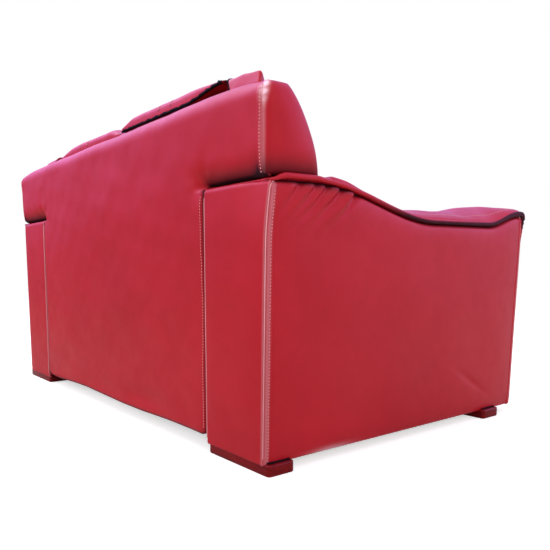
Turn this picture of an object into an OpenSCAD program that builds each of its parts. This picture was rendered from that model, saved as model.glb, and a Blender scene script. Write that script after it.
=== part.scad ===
// Two-seat leather sofa with S-curved arms, a winged back, block feet and two lift-up headrests.
// Millimetres, +Z up, the front faces -Y. The origin is on the floor, under the middle of the sofa.
// Left and right are the sitter's, so left is +X.

/* [Seat] */
// Clear width of one seat, from the centre line to the arm
seat_w = 573; // [500:1:680]
// Height of the seat cushion's crown above the floor
seat_h = 440; // [410:1:470]
// Thickness of the seat cushion at its crown
seat_t = 162; // [140:1:180]
// Crown of the seat cushion above its upper border
seat_crown = 62; // [30:1:80]
// Height of the underside of the seat frame
rail_z = 60; // [50:1:90]
// Thickness of the seat rails
rail_t = 28; // [20:1:36]
// Thickness of the felt deck pad under the cushions
deck_t = 8; // [4:1:12]
// Thickness of one layer of webbing
web_t = 2; // [1:0.5:3]
// Width of a webbing strap
web_w = 60; // [40:1:70]

/* [Arms] */
// Width of an arm, over its two welts
arm_w = 236; // [200:1:280]
// Length of an arm between its rear and front seams
arm_len = 1008; // [960:1:1080]
// Height of the welt at the rear of the arm
arm_rear_h = 657; // [640:1:680]
// Height of the welt at the lowest point of the S
arm_dip_h = 577; // [550:1:620]
// Height of the welt at the front tip
arm_tip_h = 630; // [600:1:660]
// Length of the level stretch at the rear
arm_plateau = 100; // [60:1:160]
// Distance from the rear seam to the start of the dip
arm_dip_start = 620; // [560:1:680]
// Distance from the rear seam to the end of the dip
arm_dip_end = 765; // [720:1:820]
// Crown of the arm's top pad
arm_crown = 44; // [20:1:60]
// Bulge of the arm's outer side panel
side_bulge = 14; // [6:1:20]
// Bulge of the arm's inner side panel
inner_bulge = 7; // [3:1:9]
// Bulge of the arm's rear and front panels
end_bulge = 8; // [4:1:14]
// How far the outer side leans outwards over the arm's height
arm_flare = 16; // [0:1:22]
// How far the front leans forwards over the arm's height
front_flare = 12; // [0:1:16]
// Radius of the rolled welts
welt_r = 5; // [3:0.5:7]
// Thickness of the arm's side foam, at the seams
side_foam = 20; // [16:1:28]
// Thickness of the arm's plywood sides
ply_t = 15; // [9:1:20]
// Thickness of the bent board under the arm's top pad
top_board_t = 6; // [4:1:10]
// Thickness of the arm's bottom board and posts
board_t = 18; // [12:1:24]

/* [Back] */
// Height of the rolled ridge of the back
ridge_h = 880; // [850:1:920]
// Radius of the rolled ridge
roll_r = 48; // [42:1:54]
// Thickness of the back cover
shell_t = 28; // [20:1:34]
// Height of the lower edge of the back cover
shell_z = 40; // [34:1:50]
// How far the back cover stands out behind the arms' rear seam
shell_out = 6; // [2:1:9]
// Overhang of a wing beyond the inner side of the arm, up to its end seam
wing_len = 227; // [190:1:240]
// Gap between a wing and the arm under it
wing_gap = 6; // [4:1:12]
// Depth of a wing at its end, at the arm
wing_low_d = 150; // [130:1:170]
// Depth of a wing beside the back cushion, at the arm
wing_full_d = 192; // [180:1:230]
// Depth of a wing beside the headrest, at its top
wing_top_d = 188; // [170:1:210]
// Bulge of a wing's end panel
wing_bulge = 26; // [10:1:34]
// Width of a back post
post_w = 46; // [36:1:60]
// Height of the back's top rail
top_rail_h = 60; // [45:1:80]
// Gap between the top of a back cushion and the headrest's nose roll
nose_gap = 3; // [2:1:20]
// Depth of a back cushion's border at its foot
back_cushion_low_d = 190; // [170:1:220]
// Depth of a back cushion's border at its top
back_cushion_high_d = 130; // [110:1:150]
// Crown of a back cushion
back_crown = 58; // [30:1:70]

/* [Headrests] */
// Depth of a closed headrest, from its front edge to its rear edge
headrest_d = 158; // [140:1:170]
// Height of the headrest's border
headrest_edge = 22; // [16:1:30]
// Radius of the nose roll that hides the hinges along a headrest's front edge
nose_r = 22; // [18:1:26]
// Crown of the headrest above its border
headrest_crown = 22; // [10:1:30]
// How far the right headrest stands open, in degrees
lift_right = 7; // [0:1:30]
// How far the left headrest stands open, in degrees
lift_left = 0; // [0:1:30]
// Distance between the pair of seams down the middle of a headrest
seam_pair = 66; // [40:1:100]
// Depth of the sewn-in seams
seam_depth = 4; // [2:0.5:6]
// Radius of a hinge pin
pin_r = 4; // [3:0.5:5]
// Wall of a hinge knuckle
knuckle_wall = 5; // [3:0.5:6]
// Thickness of the hinge plates
hinge_t = 3; // [2:0.5:4]
// Distance of a hinge from the middle of its headrest
hinge_off = 170; // [120:1:200]
// Length of the fixed middle knuckle
knuckle_len = 14; // [10:1:24]
// Width of a shoulder pad beside a headrest
shoulder_w = 165; // [140:1:185]

/* [Feet] */
// Height of a block foot
foot_h = 27; // [20:1:60]
// Depth of a block foot
foot_d = 75; // [60:1:100]
// Distance of the front feet from the front seam
foot_front = 88; // [60:1:120]
// Radius of a foot's upright edges
foot_round = 8; // [4:1:14]
// Thickness of the black liner above a foot
liner_t = 3; // [2:0.5:5]
// Radius of a foot's bolt
foot_bolt_r = 4; // [3:0.5:5]
// Radius of an arm bolt
arm_bolt_r = 5; // [4:0.5:6]

/* [Hidden] */
$fn = 48;
left = 1;
right = -1;

// Clearances
soft_gap = 0.3;
bolt_gap = 0.2;
pin_gap = 0.05;
cushion_gap = 3;
trim_gap = 2;
frame_inset = 8;

// Planes across the sofa: seams of an arm, its plywood sides and the end seam of a wing
arm_in = seat_w;
arm_out = seat_w + arm_w;
seam_in = arm_in + 2 * welt_r;
seam_out = arm_out - 2 * welt_r;
inner_ply_x = seam_in + side_foam;
outer_ply_x = seam_out - side_foam - ply_t;
wing_out = arm_in + wing_len;
cushion_x0 = cushion_gap;
cushion_x1 = arm_in - cushion_gap;

// Planes along the sofa: arm seams, back cover and back frame
end_border = 2;
rear_t = 10;
front_t = 16;
centring = (front_flare / 2 - end_border) / 2;
y_rear = arm_len / 2 + centring;
y_front = y_rear - arm_len;
ply_y0 = y_front + front_t - end_border;
ply_y1 = y_rear + end_border - rear_t;
shell_y = y_rear + shell_out;
roll_y = shell_y - roll_r;
frame_y0 = roll_y - roll_r;
frame_y1 = shell_y - shell_t;
rail_setback = 50;
front_rail_y = y_front + rail_setback;
cushion_setback = 20;
frame_x = arm_in - frame_inset;

// Heights
arm_z = foot_h + liner_t;
rail_top = seat_h - seat_t - deck_t - 2 * web_t;
deck_z = rail_top + 2 * web_t;
seat_z = deck_z + deck_t;
seam_rear_z = arm_rear_h - welt_r;
wing_z = arm_rear_h + wing_gap;
roll_z = ridge_h - roll_r;
top_rail_z = roll_z - top_rail_h;
wing_corner = 24;

// Depth of a wing in front of the rear seam: full beside the back cushion, thin at the end seam
wing_x = arm_in + trim_gap;
wing_swell = 8;
function wing_deep(x, t) =
    lerp(lerp(wing_full_d, wing_top_d, t), lerp(wing_low_d, 2 * roll_r - shell_out, t),
         ease((x - wing_x) / (wing_out - wing_x)));

// Headrest hinge: the axis lies under the pad, close to its front edge
pad_lip = nose_r - 2;
knuckle_r = pin_r + knuckle_wall;
lining_t = 1.5;
headrest_board_t = 9;
pad_setback = 10;
pad_rest = 5;
pad_y1 = roll_y - pad_setback;
pad_y0 = pad_y1 - headrest_d;
hinge_y = pad_y0 + pad_lip;
pad_z = ridge_h + pad_rest;
hinge_z = pad_z - hinge_t - knuckle_r - 1;
side_knuckle = 7;
knuckle_gap = 0.3;
hinge_w = knuckle_len + 2 * (side_knuckle + knuckle_gap);
hinge_xs = [for (s = [-1, 1]) (cushion_x0 + cushion_x1) / 2 + s * hinge_off];

// Back cushions stand on the deck and lean on the webbing, and the seat cushions stop at their swell
back_cushion_top = hinge_z - nose_r - nose_gap;
cushion_rear_y = frame_y0 - hinge_t - soft_gap;
back_reach = max([for (t = [0:0.05:0.5])
    lerp(back_cushion_low_d, back_cushion_high_d, t) + back_crown * dome(0, 2 * t - 1, 4)]);

// Bolts and feet
arm_bolt_pitch = 220;
arm_bolt_ys = [for (s = [-1.5, -0.5, 0.5, 1.5]) s * arm_bolt_pitch];
arm_bolt_z = (rail_z + rail_top) / 2;
foot_x = (seam_in + arm_out - trim_gap) / 2;
foot_w = arm_out - trim_gap - seam_in;
foot_ys = [y_rear - foot_d / 2, y_front + foot_front + foot_d / 2];

// Shared curves
function ease(t) = 0.5 - 0.5 * cos(180 * min(1, max(0, t)));
function lerp(a, b, t) = a + (b - a) * t;

// Values from -1 to 1 that lie closer together towards both ends
function spread(n) = [for (i = [0:n - 1]) sin(90 * (2 * i / (n - 1) - 1))];

// The same, with close columns at a pair of sewn seams on either side of the middle
function seamed(n, seam, width) =
    let (half = concat([0, seam - width, seam, seam + width],
                       [for (i = [1:n]) lerp(seam + width, 1, sin(90 * i / n))]))
    concat([for (i = [len(half) - 1:-1:1]) -half[i]], half);

// Round-edged dome and flat-edged swell over a square from -1 to 1
function dome(u, v, p) = sqrt(max(0, (1 - pow(abs(u), p)) * (1 - pow(abs(v), p))));
function swell(u, v, p) = (1 - pow(abs(u), p)) * (1 - pow(abs(v), p));

// Height of the seam under the welt along an arm, and how far the arm's sides lean at a height
function arm_line(y) =
    let (s = y_rear - y)
    s < arm_dip_start
        ? lerp(arm_rear_h, arm_dip_h, ease((s - arm_plateau) / (arm_dip_start - arm_plateau)))
        : lerp(arm_dip_h, arm_tip_h, ease((s - arm_dip_end) / (arm_len - arm_dip_end)));
function seam_z(y) = arm_line(y) - welt_r;
function side_lean(z) = arm_flare * ((z - arm_z) / (arm_rear_h - arm_z) - 0.5);
function front_lean(z) = front_flare * ((z - arm_z) / (arm_tip_h - arm_z) - 0.5);

// Stations along an arm that all its pieces share, so that their S-shaped edges meet
station_count = 22;
stations = [for (i = [0:station_count - 1]) lerp(ply_y0, ply_y1, i / (station_count - 1))];
pad_stations = concat([y_front - end_border - front_lean(arm_tip_h)], stations, [y_rear + end_border]);

// Draws a left-hand piece, or its mirror image on the right
module on_side(side) {
    if (side == right) mirror([1, 0, 0]) children();
    else children();
}

// Closed solid between a grid of outer points and the flat face that its border drops to.
// outer and inner are functions of u and v, and u, v and the outward direction are right-handed.
module padded(us, vs, outer, inner) {
    nu = len(us);
    nv = len(vs);
    count = nu * nv;
    turn = 2 * (nu + nv - 2);
    rim = concat([for (i = [0:nu - 1]) [i, 0]], [for (j = [1:nv - 1]) [nu - 1, j]],
                 [for (i = [nu - 2:-1:0]) [i, nv - 1]], [for (j = [nv - 2:-1:1]) [0, j]]);
    grid = function (i, j) i * nv + j;
    low = function (i) count + i;
    high = function (i) count + (nu - 1) + (nv - 1) + (nu - 1 - i);
    first = function (j) count + (j == 0 ? 0 : turn - j);
    last = function (j) count + nu - 1 + j;
    points = concat([for (u = us) for (v = vs) outer(u, v)],
                    [for (r = rim) inner(us[r[0]], vs[r[1]])]);
    face_outer = [for (i = [0:nu - 2]) for (j = [0:nv - 2]) each [
        [grid(i, j), grid(i, j + 1), grid(i + 1, j + 1)],
        [grid(i, j), grid(i + 1, j + 1), grid(i + 1, j)]]];
    face_inner = concat(
        [for (i = [1:nu - 3]) each [[low(i), low(i + 1), high(i + 1)], [low(i), high(i + 1), high(i)]]],
        [[low(1), high(1), high(0)]],
        [for (j = [nv - 1:-1:1]) [low(1), first(j), first(j - 1)]],
        [[high(nu - 2), low(nu - 2), low(nu - 1)]],
        [for (j = [0:nv - 2]) [high(nu - 2), last(j), last(j + 1)]]);
    face_side = [for (k = [0:turn - 1]) let (
        n = (k + 1) % turn,
        a = grid(rim[k][0], rim[k][1]),
        b = grid(rim[n][0], rim[n][1])) each [[a, b, count + n], [a, count + n, count + k]]];
    polyhedron(points, concat(face_outer, face_inner, face_side));
}

// Round tube along a path that lies close to a plane of constant x
module welt(path, r) {
    sides = 6;
    n = len(path);
    rings = [for (k = [0:n - 1]) let (
        ahead = path[min(n - 1, k + 1)] - path[max(0, k - 1)],
        t = ahead / norm(ahead),
        across = cross(t, [1, 0, 0]),
        up = across / norm(across),
        out = cross(up, t)) for (m = [0:sides - 1])
            path[k] + r * (cos(360 * m / sides) * out + sin(360 * m / sides) * up)];
    walls = [for (k = [0:n - 2]) for (m = [0:sides - 1]) let (
        a = k * sides + m,
        b = k * sides + (m + 1) % sides) each [[a, a + sides, b + sides], [a, b + sides, b]]];
    caps = [for (m = [1:sides - 2]) each [
        [0, m, m + 1],
        [(n - 1) * sides, (n - 1) * sides + m + 1, (n - 1) * sides + m]]];
    polyhedron(rings, concat(walls, caps));
}

// Flat rectangle with round corners, centred
module rounded(w, d, r) {
    square([w - 2 * r, d], center = true);
    square([w, d - 2 * r], center = true);
    for (sx = [-1, 1]) for (sy = [-1, 1])
        translate([sx * (w / 2 - r), sy * (d / 2 - r)]) circle(r);
}

// Block between two corners
module block(a, b) {
    translate(a) cube(b - a);
}

// Plate with a side outline given in Y and Z, from x to x + t
module side_plate(x, t, outline) {
    translate([x, 0, 0]) rotate([90, 0, 90]) linear_extrude(t) polygon(outline);
}

// Arms

module arm_outer_panel(side) {
    mid = (ply_y0 + ply_y1) / 2;
    half = (ply_y1 - ply_y0) / 2;
    place = function (u, v, x) let (y = mid + half * u) [x, y, lerp(arm_z, seam_z(y), (v + 1) / 2)];
    foot_p = 14;
    full = function (u, v) v < 0 ? swell(u, 0, 6) * swell(0, v, foot_p) : swell(u, v, 6);
    outer = function (u, v) let (p = place(u, v, 0))
        [seam_out + side_lean(p[2]) + side_bulge * full(u, v), p[1], p[2]];
    inner = function (u, v) place(u, v, seam_out - side_foam);
    color("firebrick") on_side(side)
        padded([for (y = stations) (y - mid) / half], spread(9), outer, inner);
}

module arm_inner_panel(side) {
    mid = (ply_y0 + ply_y1) / 2;
    half = (ply_y1 - ply_y0) / 2;
    place = function (u, v, x) let (y = mid - half * u) [x, y, lerp(deck_z, seam_z(y), (v + 1) / 2)];
    outer = function (u, v) place(u, v, seam_in - inner_bulge * swell(u, v, 6));
    inner = function (u, v) place(u, v, inner_ply_x);
    color("firebrick") on_side(side)
        padded([for (i = [station_count - 1:-1:0]) (mid - stations[i]) / half], spread(7), outer, inner);
}

// The pad lies flat under the wing and swells up in front of it
module arm_top_pad(side) {
    edge = 4;
    rear_crown = 2;
    rise_start = wing_full_d + wing_swell + 3;
    rise_len = 70;
    n = len(pad_stations);
    first = pad_stations[0];
    span = pad_stations[n - 1] - first;
    across = function (y, v) lerp(seam_out + side_lean(seam_z(y)), seam_in, (v + 1) / 2);
    crown = function (y) lerp(rear_crown, arm_crown, ease((y_rear - y - rise_start) / rise_len));
    outer = function (u, v) let (y = first + span * (u + 1) / 2)
        [across(y, v), y, seam_z(y) + edge + crown(y) * (1 - pow(abs(u), 16)) * (1 - pow(abs(v), 2.4))];
    inner = function (u, v) let (y = first + span * (u + 1) / 2) [across(y, v), y, seam_z(y)];
    color("indianred") on_side(side)
        padded([for (y = pad_stations) 2 * (y - first) / span - 1], spread(9), outer, inner);
}

module arm_front_panel(side) {
    top = seam_z(ply_y0);
    across = function (u, z) lerp(seam_in, seam_out + side_lean(z), (u + 1) / 2);
    high = function (v) lerp(arm_z, top, (v + 1) / 2);
    outer = function (u, v) let (z = high(v))
        [across(u, z), y_front - end_border - front_lean(z) - end_bulge * swell(u, v, 6), z];
    inner = function (u, v) let (z = high(v)) [across(u, z), ply_y0, z];
    color("firebrick") on_side(side) padded(spread(7), spread(9), outer, inner);
}

module arm_rear_panel(side) {
    across = function (u, z) lerp(seam_out + side_lean(z), seam_in, (u + 1) / 2);
    high = function (v) lerp(arm_z, seam_rear_z, (v + 1) / 2);
    outer = function (u, v) let (z = high(v))
        [across(u, z), y_rear + end_border + end_bulge * swell(u, v, 6), z];
    inner = function (u, v) let (z = high(v)) [across(u, z), ply_y1, z];
    color("firebrick") on_side(side) padded(spread(7), spread(9), outer, inner);
}

// One run of piping: up the rear corner, along the S and down the front corner
function welt_run(x, lean) =
    let (rise = 40, corner = 14,
         rear_y = y_rear - welt_r / 2 - 0.5,
         front_y = function (z) y_front - front_lean(z) + welt_r / 2 + 0.5,
         top_front = seam_z(ply_y0),
         outline = concat(
             [[rear_y, arm_z + rise / 4], [rear_y, (arm_z + seam_rear_z) / 2],
              [rear_y, seam_rear_z - corner], [rear_y - corner / 3, seam_rear_z - corner / 3]],
             [for (i = [station_count - 2:-1:1]) [stations[i], seam_z(stations[i])]],
             [[front_y(top_front) + corner / 3, top_front - corner / 3],
              [front_y(top_front - corner), top_front - corner],
              [front_y((arm_z + top_front) / 2), (arm_z + top_front) / 2],
              [front_y(arm_z), arm_z + rise / 4]]))
    [for (p = outline) [x + lean * side_lean(p[1]), p[0], p[1]]];

module arm_welts(side) {
    color("darkred") on_side(side) {
        welt(welt_run(seam_out + welt_r + soft_gap, 1), welt_r);
        welt(welt_run(seam_in - welt_r - soft_gap, 0), welt_r);
    }
}

// Outline of a plywood side, under the bent top board
function ply_outline() = concat(
    [[ply_y1, arm_z + board_t], [ply_y0, arm_z + board_t]],
    [for (y = stations) [y, seam_z(y) - top_board_t]]);

module arm_outer_ply(side) {
    color("burlywood") on_side(side) side_plate(outer_ply_x, ply_t, ply_outline());
}

module arm_inner_ply(side) {
    color("burlywood") on_side(side) difference() {
        side_plate(inner_ply_x, ply_t, ply_outline());
        for (y = arm_bolt_ys)
            translate([inner_ply_x - 1, y, arm_bolt_z]) rotate([0, 90, 0])
                cylinder(r = arm_bolt_r + bolt_gap, h = ply_t + 2);
    }
}

module arm_top_board(side) {
    strip = concat([for (y = stations) [y, seam_z(y)]],
                   [for (i = [station_count - 1:-1:0]) [stations[i], seam_z(stations[i]) - top_board_t]]);
    color("tan") on_side(side)
        side_plate(inner_ply_x, outer_ply_x + ply_t - inner_ply_x, strip);
}

// Bottom board with three posts between the plywood sides
module arm_blocks(side) {
    post_x0 = inner_ply_x + ply_t;
    post_z = arm_z + board_t;
    post_top = arm_dip_h - welt_r - top_board_t - trim_gap;
    post_ys = [ply_y0, (ply_y0 + ply_y1 - board_t) / 2, ply_y1 - board_t];
    color("wheat") on_side(side) difference() {
        union() {
            block([inner_ply_x, ply_y0, arm_z], [outer_ply_x + ply_t, ply_y1, post_z]);
            for (y = post_ys) block([post_x0, y, post_z], [outer_ply_x, y + board_t, post_top]);
        }
        for (y = foot_ys) translate([foot_x, y, arm_z - 1])
            cylinder(r = foot_bolt_r + bolt_gap, h = board_t + 2);
    }
}

// Back

// Wall and rolled ridge, cut to a T whose wings lie over the arms
module back_cover() {
    foot_corner = 24;
    body = arm_in - trim_gap;
    deep = 2 * roll_r + 2;
    color("firebrick") intersection() {
        translate([-wing_out, 0, 0]) rotate([90, 0, 90]) linear_extrude(2 * wing_out) {
            translate([frame_y1, shell_z]) square([shell_t, roll_z - shell_z]);
            intersection() {
                translate([roll_y, roll_z]) circle(roll_r, $fn = 96);
                translate([roll_y - roll_r - 1, roll_z]) square([2 * roll_r + 2, roll_r + 1]);
            }
        }
        translate([0, shell_y + 1, 0]) rotate([90, 0, 0]) linear_extrude(deep) {
            translate([0, (wing_z + ridge_h) / 2]) rounded(2 * wing_out, ridge_h - wing_z, wing_corner);
            translate([0, (shell_z + ridge_h) / 2]) rounded(2 * body, ridge_h - shell_z, foot_corner);
        }
    }
}

// Foam body of a wing: full beside the back cushion, thin at the end seam
module wing_pad(side) {
    at = function (u) lerp(wing_x, wing_out, (u + 1) / 2);
    top = function (x) lerp(ridge_h, roll_z, ease((x - wing_x - shoulder_w) / (wing_out - wing_x - shoulder_w)));
    outer = function (u, v) let (x = at(u), t = (v + 1) / 2)
        [x, y_rear - wing_deep(x, t) - wing_swell * swell(u, v, 4), lerp(wing_z, top(x), t)];
    inner = function (u, v) let (x = at(u)) [x, frame_y1, lerp(wing_z, top(x), (v + 1) / 2)];
    color("indianred") on_side(side) difference() {
        padded(spread(9), spread(9), outer, inner);
        block([0, frame_y0 - soft_gap, top_rail_z - soft_gap], [wing_out - board_t, shell_y, roll_z + 1]);
        block([0, frame_y0 - soft_gap, roll_z - soft_gap], [wing_out + 1, shell_y, ridge_h + 1]);
    }
}

// Puffed leather panel that closes a wing's end
module wing_end_panel(side) {
    high = function (v) lerp(wing_z, ridge_h - wing_corner, (v + 1) / 2);
    half_roll = function (z) sqrt(max(0, roll_r * roll_r - pow(max(0, z - roll_z), 2)));
    rear = function (z) roll_y + half_roll(z);
    front = function (z) z < roll_z
        ? lerp(y_rear - wing_low_d, roll_y - roll_r, (z - wing_z) / (roll_z - wing_z))
        : roll_y - half_roll(z);
    edge = 4;
    place = function (u, v, x) let (z = high(v)) [x, lerp(front(z), rear(z), (u + 1) / 2), z];
    outer = function (u, v) place(u, v, wing_out + edge + (wing_bulge - trim_gap) * dome(u, v, 3));
    inner = function (u, v) place(u, v, wing_out);
    color("firebrick") on_side(side) padded(spread(9), spread(11), outer, inner);
}

// Fixed pad on a wing, beside the headrest and of the same section
module shoulder_pad(side) {
    fall = 0.2;
    z0 = ridge_h + soft_gap;
    at = function (u) lerp(wing_x, wing_x + shoulder_w, (u + 1) / 2);
    high = function (u, v) headrest_edge + headrest_crown * dome(u, v, 4);
    deep = function (u, v) lerp(y_rear - wing_deep(at(u), 1), pad_y1, (v + 1) / 2);
    outer = function (u, v) [at(u), deep(u, v), z0 + high(u, v) * (1 - fall * ease(u))];
    inner = function (u, v) [at(u), deep(u, v), z0];
    color("firebrick") on_side(side) padded(spread(9), spread(9), outer, inner);
}

// Posts notched over the rear rail, which they stand behind
module back_posts() {
    color("burlywood") for (x = [-frame_x, -post_w / 2, frame_x - post_w]) {
        block([x, frame_y0, rail_top], [x + post_w, frame_y1, top_rail_z]);
        block([x, frame_y0 + rail_t, rail_z], [x + post_w, frame_y1, rail_top]);
    }
}

module back_top_rail() {
    x = wing_out - board_t - 2 * trim_gap;
    color("burlywood") block([-x, frame_y0, top_rail_z], [x, frame_y1, roll_z]);
}

module back_webbing() {
    count = 4;
    z0 = seat_h;
    z1 = top_rail_z - web_w - web_w / 3;
    color("dimgray") for (i = [0:count - 1]) let (z = lerp(z0, z1, i / (count - 1)))
        block([-frame_x, frame_y0 - web_t, z], [frame_x, frame_y0, z + web_w]);
}

// Sides drawn in between the corners, a crowned front and a flat rear that leans on the webbing
module back_cushion(side) {
    mid_x = (cushion_x0 + cushion_x1) / 2;
    half_x = (cushion_x1 - cushion_x0) / 2;
    drawn = 6;
    seam = seam_pair / 2 / half_x;
    groove = seam / 4;
    across = function (u, v) mid_x + u * (half_x - drawn * (1 - v * v));
    high = function (u, v) lerp(seat_z, back_cushion_top, (v + 1) / 2) - drawn * max(0, v) * (1 - u * u);
    sewn = function (u) abs(abs(u) - seam) < 0.001 ? seam_depth : 0;
    outer = function (u, v) [across(u, v),
        cushion_rear_y - lerp(back_cushion_low_d, back_cushion_high_d, (v + 1) / 2)
            - back_crown * dome(u, v, 4) + sewn(u) * dome(u, v, 2), high(u, v)];
    inner = function (u, v) [across(u, v), cushion_rear_y, high(u, v)];
    color("firebrick") on_side(side) padded(seamed(6, seam, groove), spread(11), outer, inner);
}

// Headrests

// Turns a left-hand headrest piece about the hinge and puts it on its side
module lifted(side) {
    angle = side == left ? lift_left : lift_right;
    on_side(side) translate([0, hinge_y, hinge_z]) rotate([angle, 0, 0])
        translate([0, -hinge_y, -hinge_z]) children();
}

board_inset = 26;
board_lo = [cushion_x0 + board_inset, hinge_y, pad_z + lining_t];
board_hi = [cushion_x1 - board_inset, pad_y1 - board_inset, pad_z + lining_t + headrest_board_t];

module headrest_pad(side) {
    mid_x = (cushion_x0 + cushion_x1) / 2;
    half_x = (cushion_x1 - cushion_x0) / 2;
    mid_y = (pad_y0 + pad_y1) / 2;
    half_y = headrest_d / 2;
    z0 = pad_z + lining_t;
    corner = 0.1;
    seam = seam_pair / 2 / half_x;
    groove = seam / 4;
    sewn = function (u) abs(abs(u) - seam) < 0.001 ? seam_depth : 0;
    place = function (u, v, z)
        [mid_x + half_x * u * sqrt(1 - corner * v * v), mid_y + half_y * v * sqrt(1 - corner * u * u), z];
    outer = function (u, v)
        place(u, v, z0 + headrest_edge + headrest_crown * dome(u, v, 4) - sewn(u) * dome(u, v, 2));
    inner = function (u, v) place(u, v, z0);
    room = [bolt_gap, bolt_gap, bolt_gap];
    hinge_room = hinge_w / 2 + trim_gap;
    color("firebrick") lifted(side) difference() {
        union() {
            padded(seamed(6, seam, groove), spread(9), outer, inner);
            translate([cushion_x0 + nose_r / 2, hinge_y, hinge_z]) rotate([0, 90, 0])
                cylinder(r = nose_r, h = cushion_x1 - cushion_x0 - nose_r);
        }
        block([board_lo[0], board_lo[1], hinge_z] - [bolt_gap, bolt_gap, 0], board_hi + room);
        for (x = hinge_xs)
            block([x - hinge_room, hinge_y - 2 * nose_r, hinge_z - 2 * nose_r],
                  [x + hinge_room, hinge_y + 2 * nose_r, z0]);
    }
}

module headrest_board(side) {
    color("burlywood") lifted(side) block(board_lo, board_hi);
}

module headrest_lining(side) {
    inset = 16;
    color("black") lifted(side)
        block([cushion_x0 + inset, hinge_y + nose_r, pad_z],
              [cushion_x1 - inset, pad_y1 - inset, pad_z + lining_t]);
}

// Moving leaves: a plate under the lining and a knuckle on each side of the fixed one
module headrest_leaves(side) {
    reach = 78;
    color("silver") lifted(side) for (x = hinge_xs) difference() {
        union() {
            block([x - hinge_w / 2, hinge_y - pin_r, pad_z - hinge_t],
                  [x + hinge_w / 2, hinge_y + reach, pad_z]);
            for (x0 = [x - hinge_w / 2, x + hinge_w / 2 - side_knuckle]) {
                translate([x0, hinge_y, hinge_z]) rotate([0, 90, 0])
                    cylinder(r = knuckle_r, h = side_knuckle);
                block([x0, hinge_y - pin_r, hinge_z],
                      [x0 + side_knuckle, hinge_y + pin_r, pad_z - hinge_t / 2]);
            }
        }
        translate([x - hinge_w, hinge_y, hinge_z]) rotate([0, 90, 0])
            cylinder(r = pin_r + pin_gap, h = 2 * hinge_w);
    }
}

// Fixed brackets: a leaf on the front of the top rail, a strap over the cushion and the middle knuckle
module hinge_brackets() {
    leaf_drop = 44;
    strap_t = 4;
    strap_z = hinge_z - knuckle_r;
    color("silver") for (side = [left, right]) on_side(side) for (x = hinge_xs) difference() {
        union() {
            block([x - hinge_w / 2, frame_y0 - hinge_t, roll_z - leaf_drop],
                  [x + hinge_w / 2, frame_y0, strap_z + strap_t]);
            block([x - knuckle_len / 2, hinge_y, strap_z], [x + knuckle_len / 2, frame_y0, strap_z + strap_t]);
            translate([x - knuckle_len / 2, hinge_y, hinge_z]) rotate([0, 90, 0])
                cylinder(r = knuckle_r, h = knuckle_len);
        }
        translate([x - hinge_w, hinge_y, hinge_z]) rotate([0, 90, 0])
            cylinder(r = pin_r + pin_gap, h = 2 * hinge_w);
    }
}

module hinge_pins() {
    stick_out = 2;
    color("gray") for (side = [left, right]) on_side(side) for (x = hinge_xs)
        translate([x - hinge_w / 2 - stick_out, hinge_y, hinge_z]) rotate([0, 90, 0])
            cylinder(r = pin_r, h = hinge_w + 2 * stick_out);
}

// Seat

module front_rail() {
    color("burlywood")
        block([-inner_ply_x, front_rail_y, rail_z], [inner_ply_x, front_rail_y + rail_t, rail_top]);
}

module rear_rail() {
    color("burlywood") block([-frame_x, frame_y0, rail_z], [frame_x, frame_y0 + rail_t, rail_top]);
}

module side_rails() {
    color("burlywood") for (side = [left, right]) on_side(side) difference() {
        block([frame_x, front_rail_y + rail_t, rail_z], [inner_ply_x, frame_y1, rail_top]);
        for (y = arm_bolt_ys) translate([frame_x - 1, y, arm_bolt_z]) rotate([0, 90, 0])
            cylinder(r = arm_bolt_r + bolt_gap, h = inner_ply_x - frame_x + 2);
    }
}

module centre_rail() {
    color("burlywood")
        block([-rail_t / 2, front_rail_y + rail_t, rail_z], [rail_t / 2, frame_y0, rail_top]);
}

// Straps from front to rear, with cross straps laid over them
module seat_webbing() {
    count = 4;
    lap = 20;
    pitch = (seat_w - post_w) / count;
    cross_ys = [for (i = [1:4]) lerp(front_rail_y, frame_y0, i / 5) - web_w / 2];
    color("dimgray") {
        for (side = [left, right]) on_side(side) for (i = [0:count - 1])
            let (x = post_w / 2 + pitch * (i + 0.5) - web_w / 2)
            block([x, front_rail_y + rail_t - lap, rail_top], [x + web_w, frame_y0 + lap, rail_top + web_t]);
        for (y = cross_ys)
            block([-inner_ply_x, y, rail_top + web_t], [inner_ply_x, y + web_w, deck_z]);
    }
}

module seat_deck_pad() {
    x = arm_in - cushion_gap;
    color("gray") block([-x, front_rail_y, deck_z], [x, frame_y0 - hinge_t, seat_z]);
}

// Sides drawn in between the corners and towards the foot, with a crowned top
module seat_cushion(side) {
    mid_x = (cushion_x0 + cushion_x1) / 2;
    half_x = (cushion_x1 - cushion_x0) / 2;
    y0 = y_front + cushion_setback;
    y1 = cushion_rear_y - back_reach - cushion_gap;
    border = seat_h - seat_crown;
    drawn = 5;
    foot_in = 8;
    across = function (u, v, d) mid_x + u * (half_x - d - drawn * (1 - v * v));
    along = function (u, v, d) lerp(y0 + d, y1 - d, (v + 1) / 2);
    outer = function (u, v) [across(u, v, 0), along(u, v, 0), border + seat_crown * dome(u, v, 4)];
    inner = function (u, v) [across(u, v, foot_in), along(u, v, foot_in), seat_z];
    color("firebrick") on_side(side) padded(spread(13), spread(13), outer, inner);
}

module front_border() {
    bulge = 10;
    foam = 14;
    x = inner_ply_x - trim_gap;
    high = function (v) lerp(shell_z, deck_z, (v + 1) / 2);
    outer = function (u, v) [x * u, front_rail_y - foam - bulge * swell(u, v, 8), high(v)];
    inner = function (u, v) [x * u, front_rail_y, high(v)];
    color("firebrick") padded(spread(13), spread(7), outer, inner);
}

module dust_cover() {
    cover_t = 1.5;
    x = inner_ply_x - trim_gap;
    color("black") block([-x, front_rail_y + trim_gap, rail_z - cover_t], [x, frame_y1 - trim_gap, rail_z]);
}

// Feet and bolts

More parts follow.
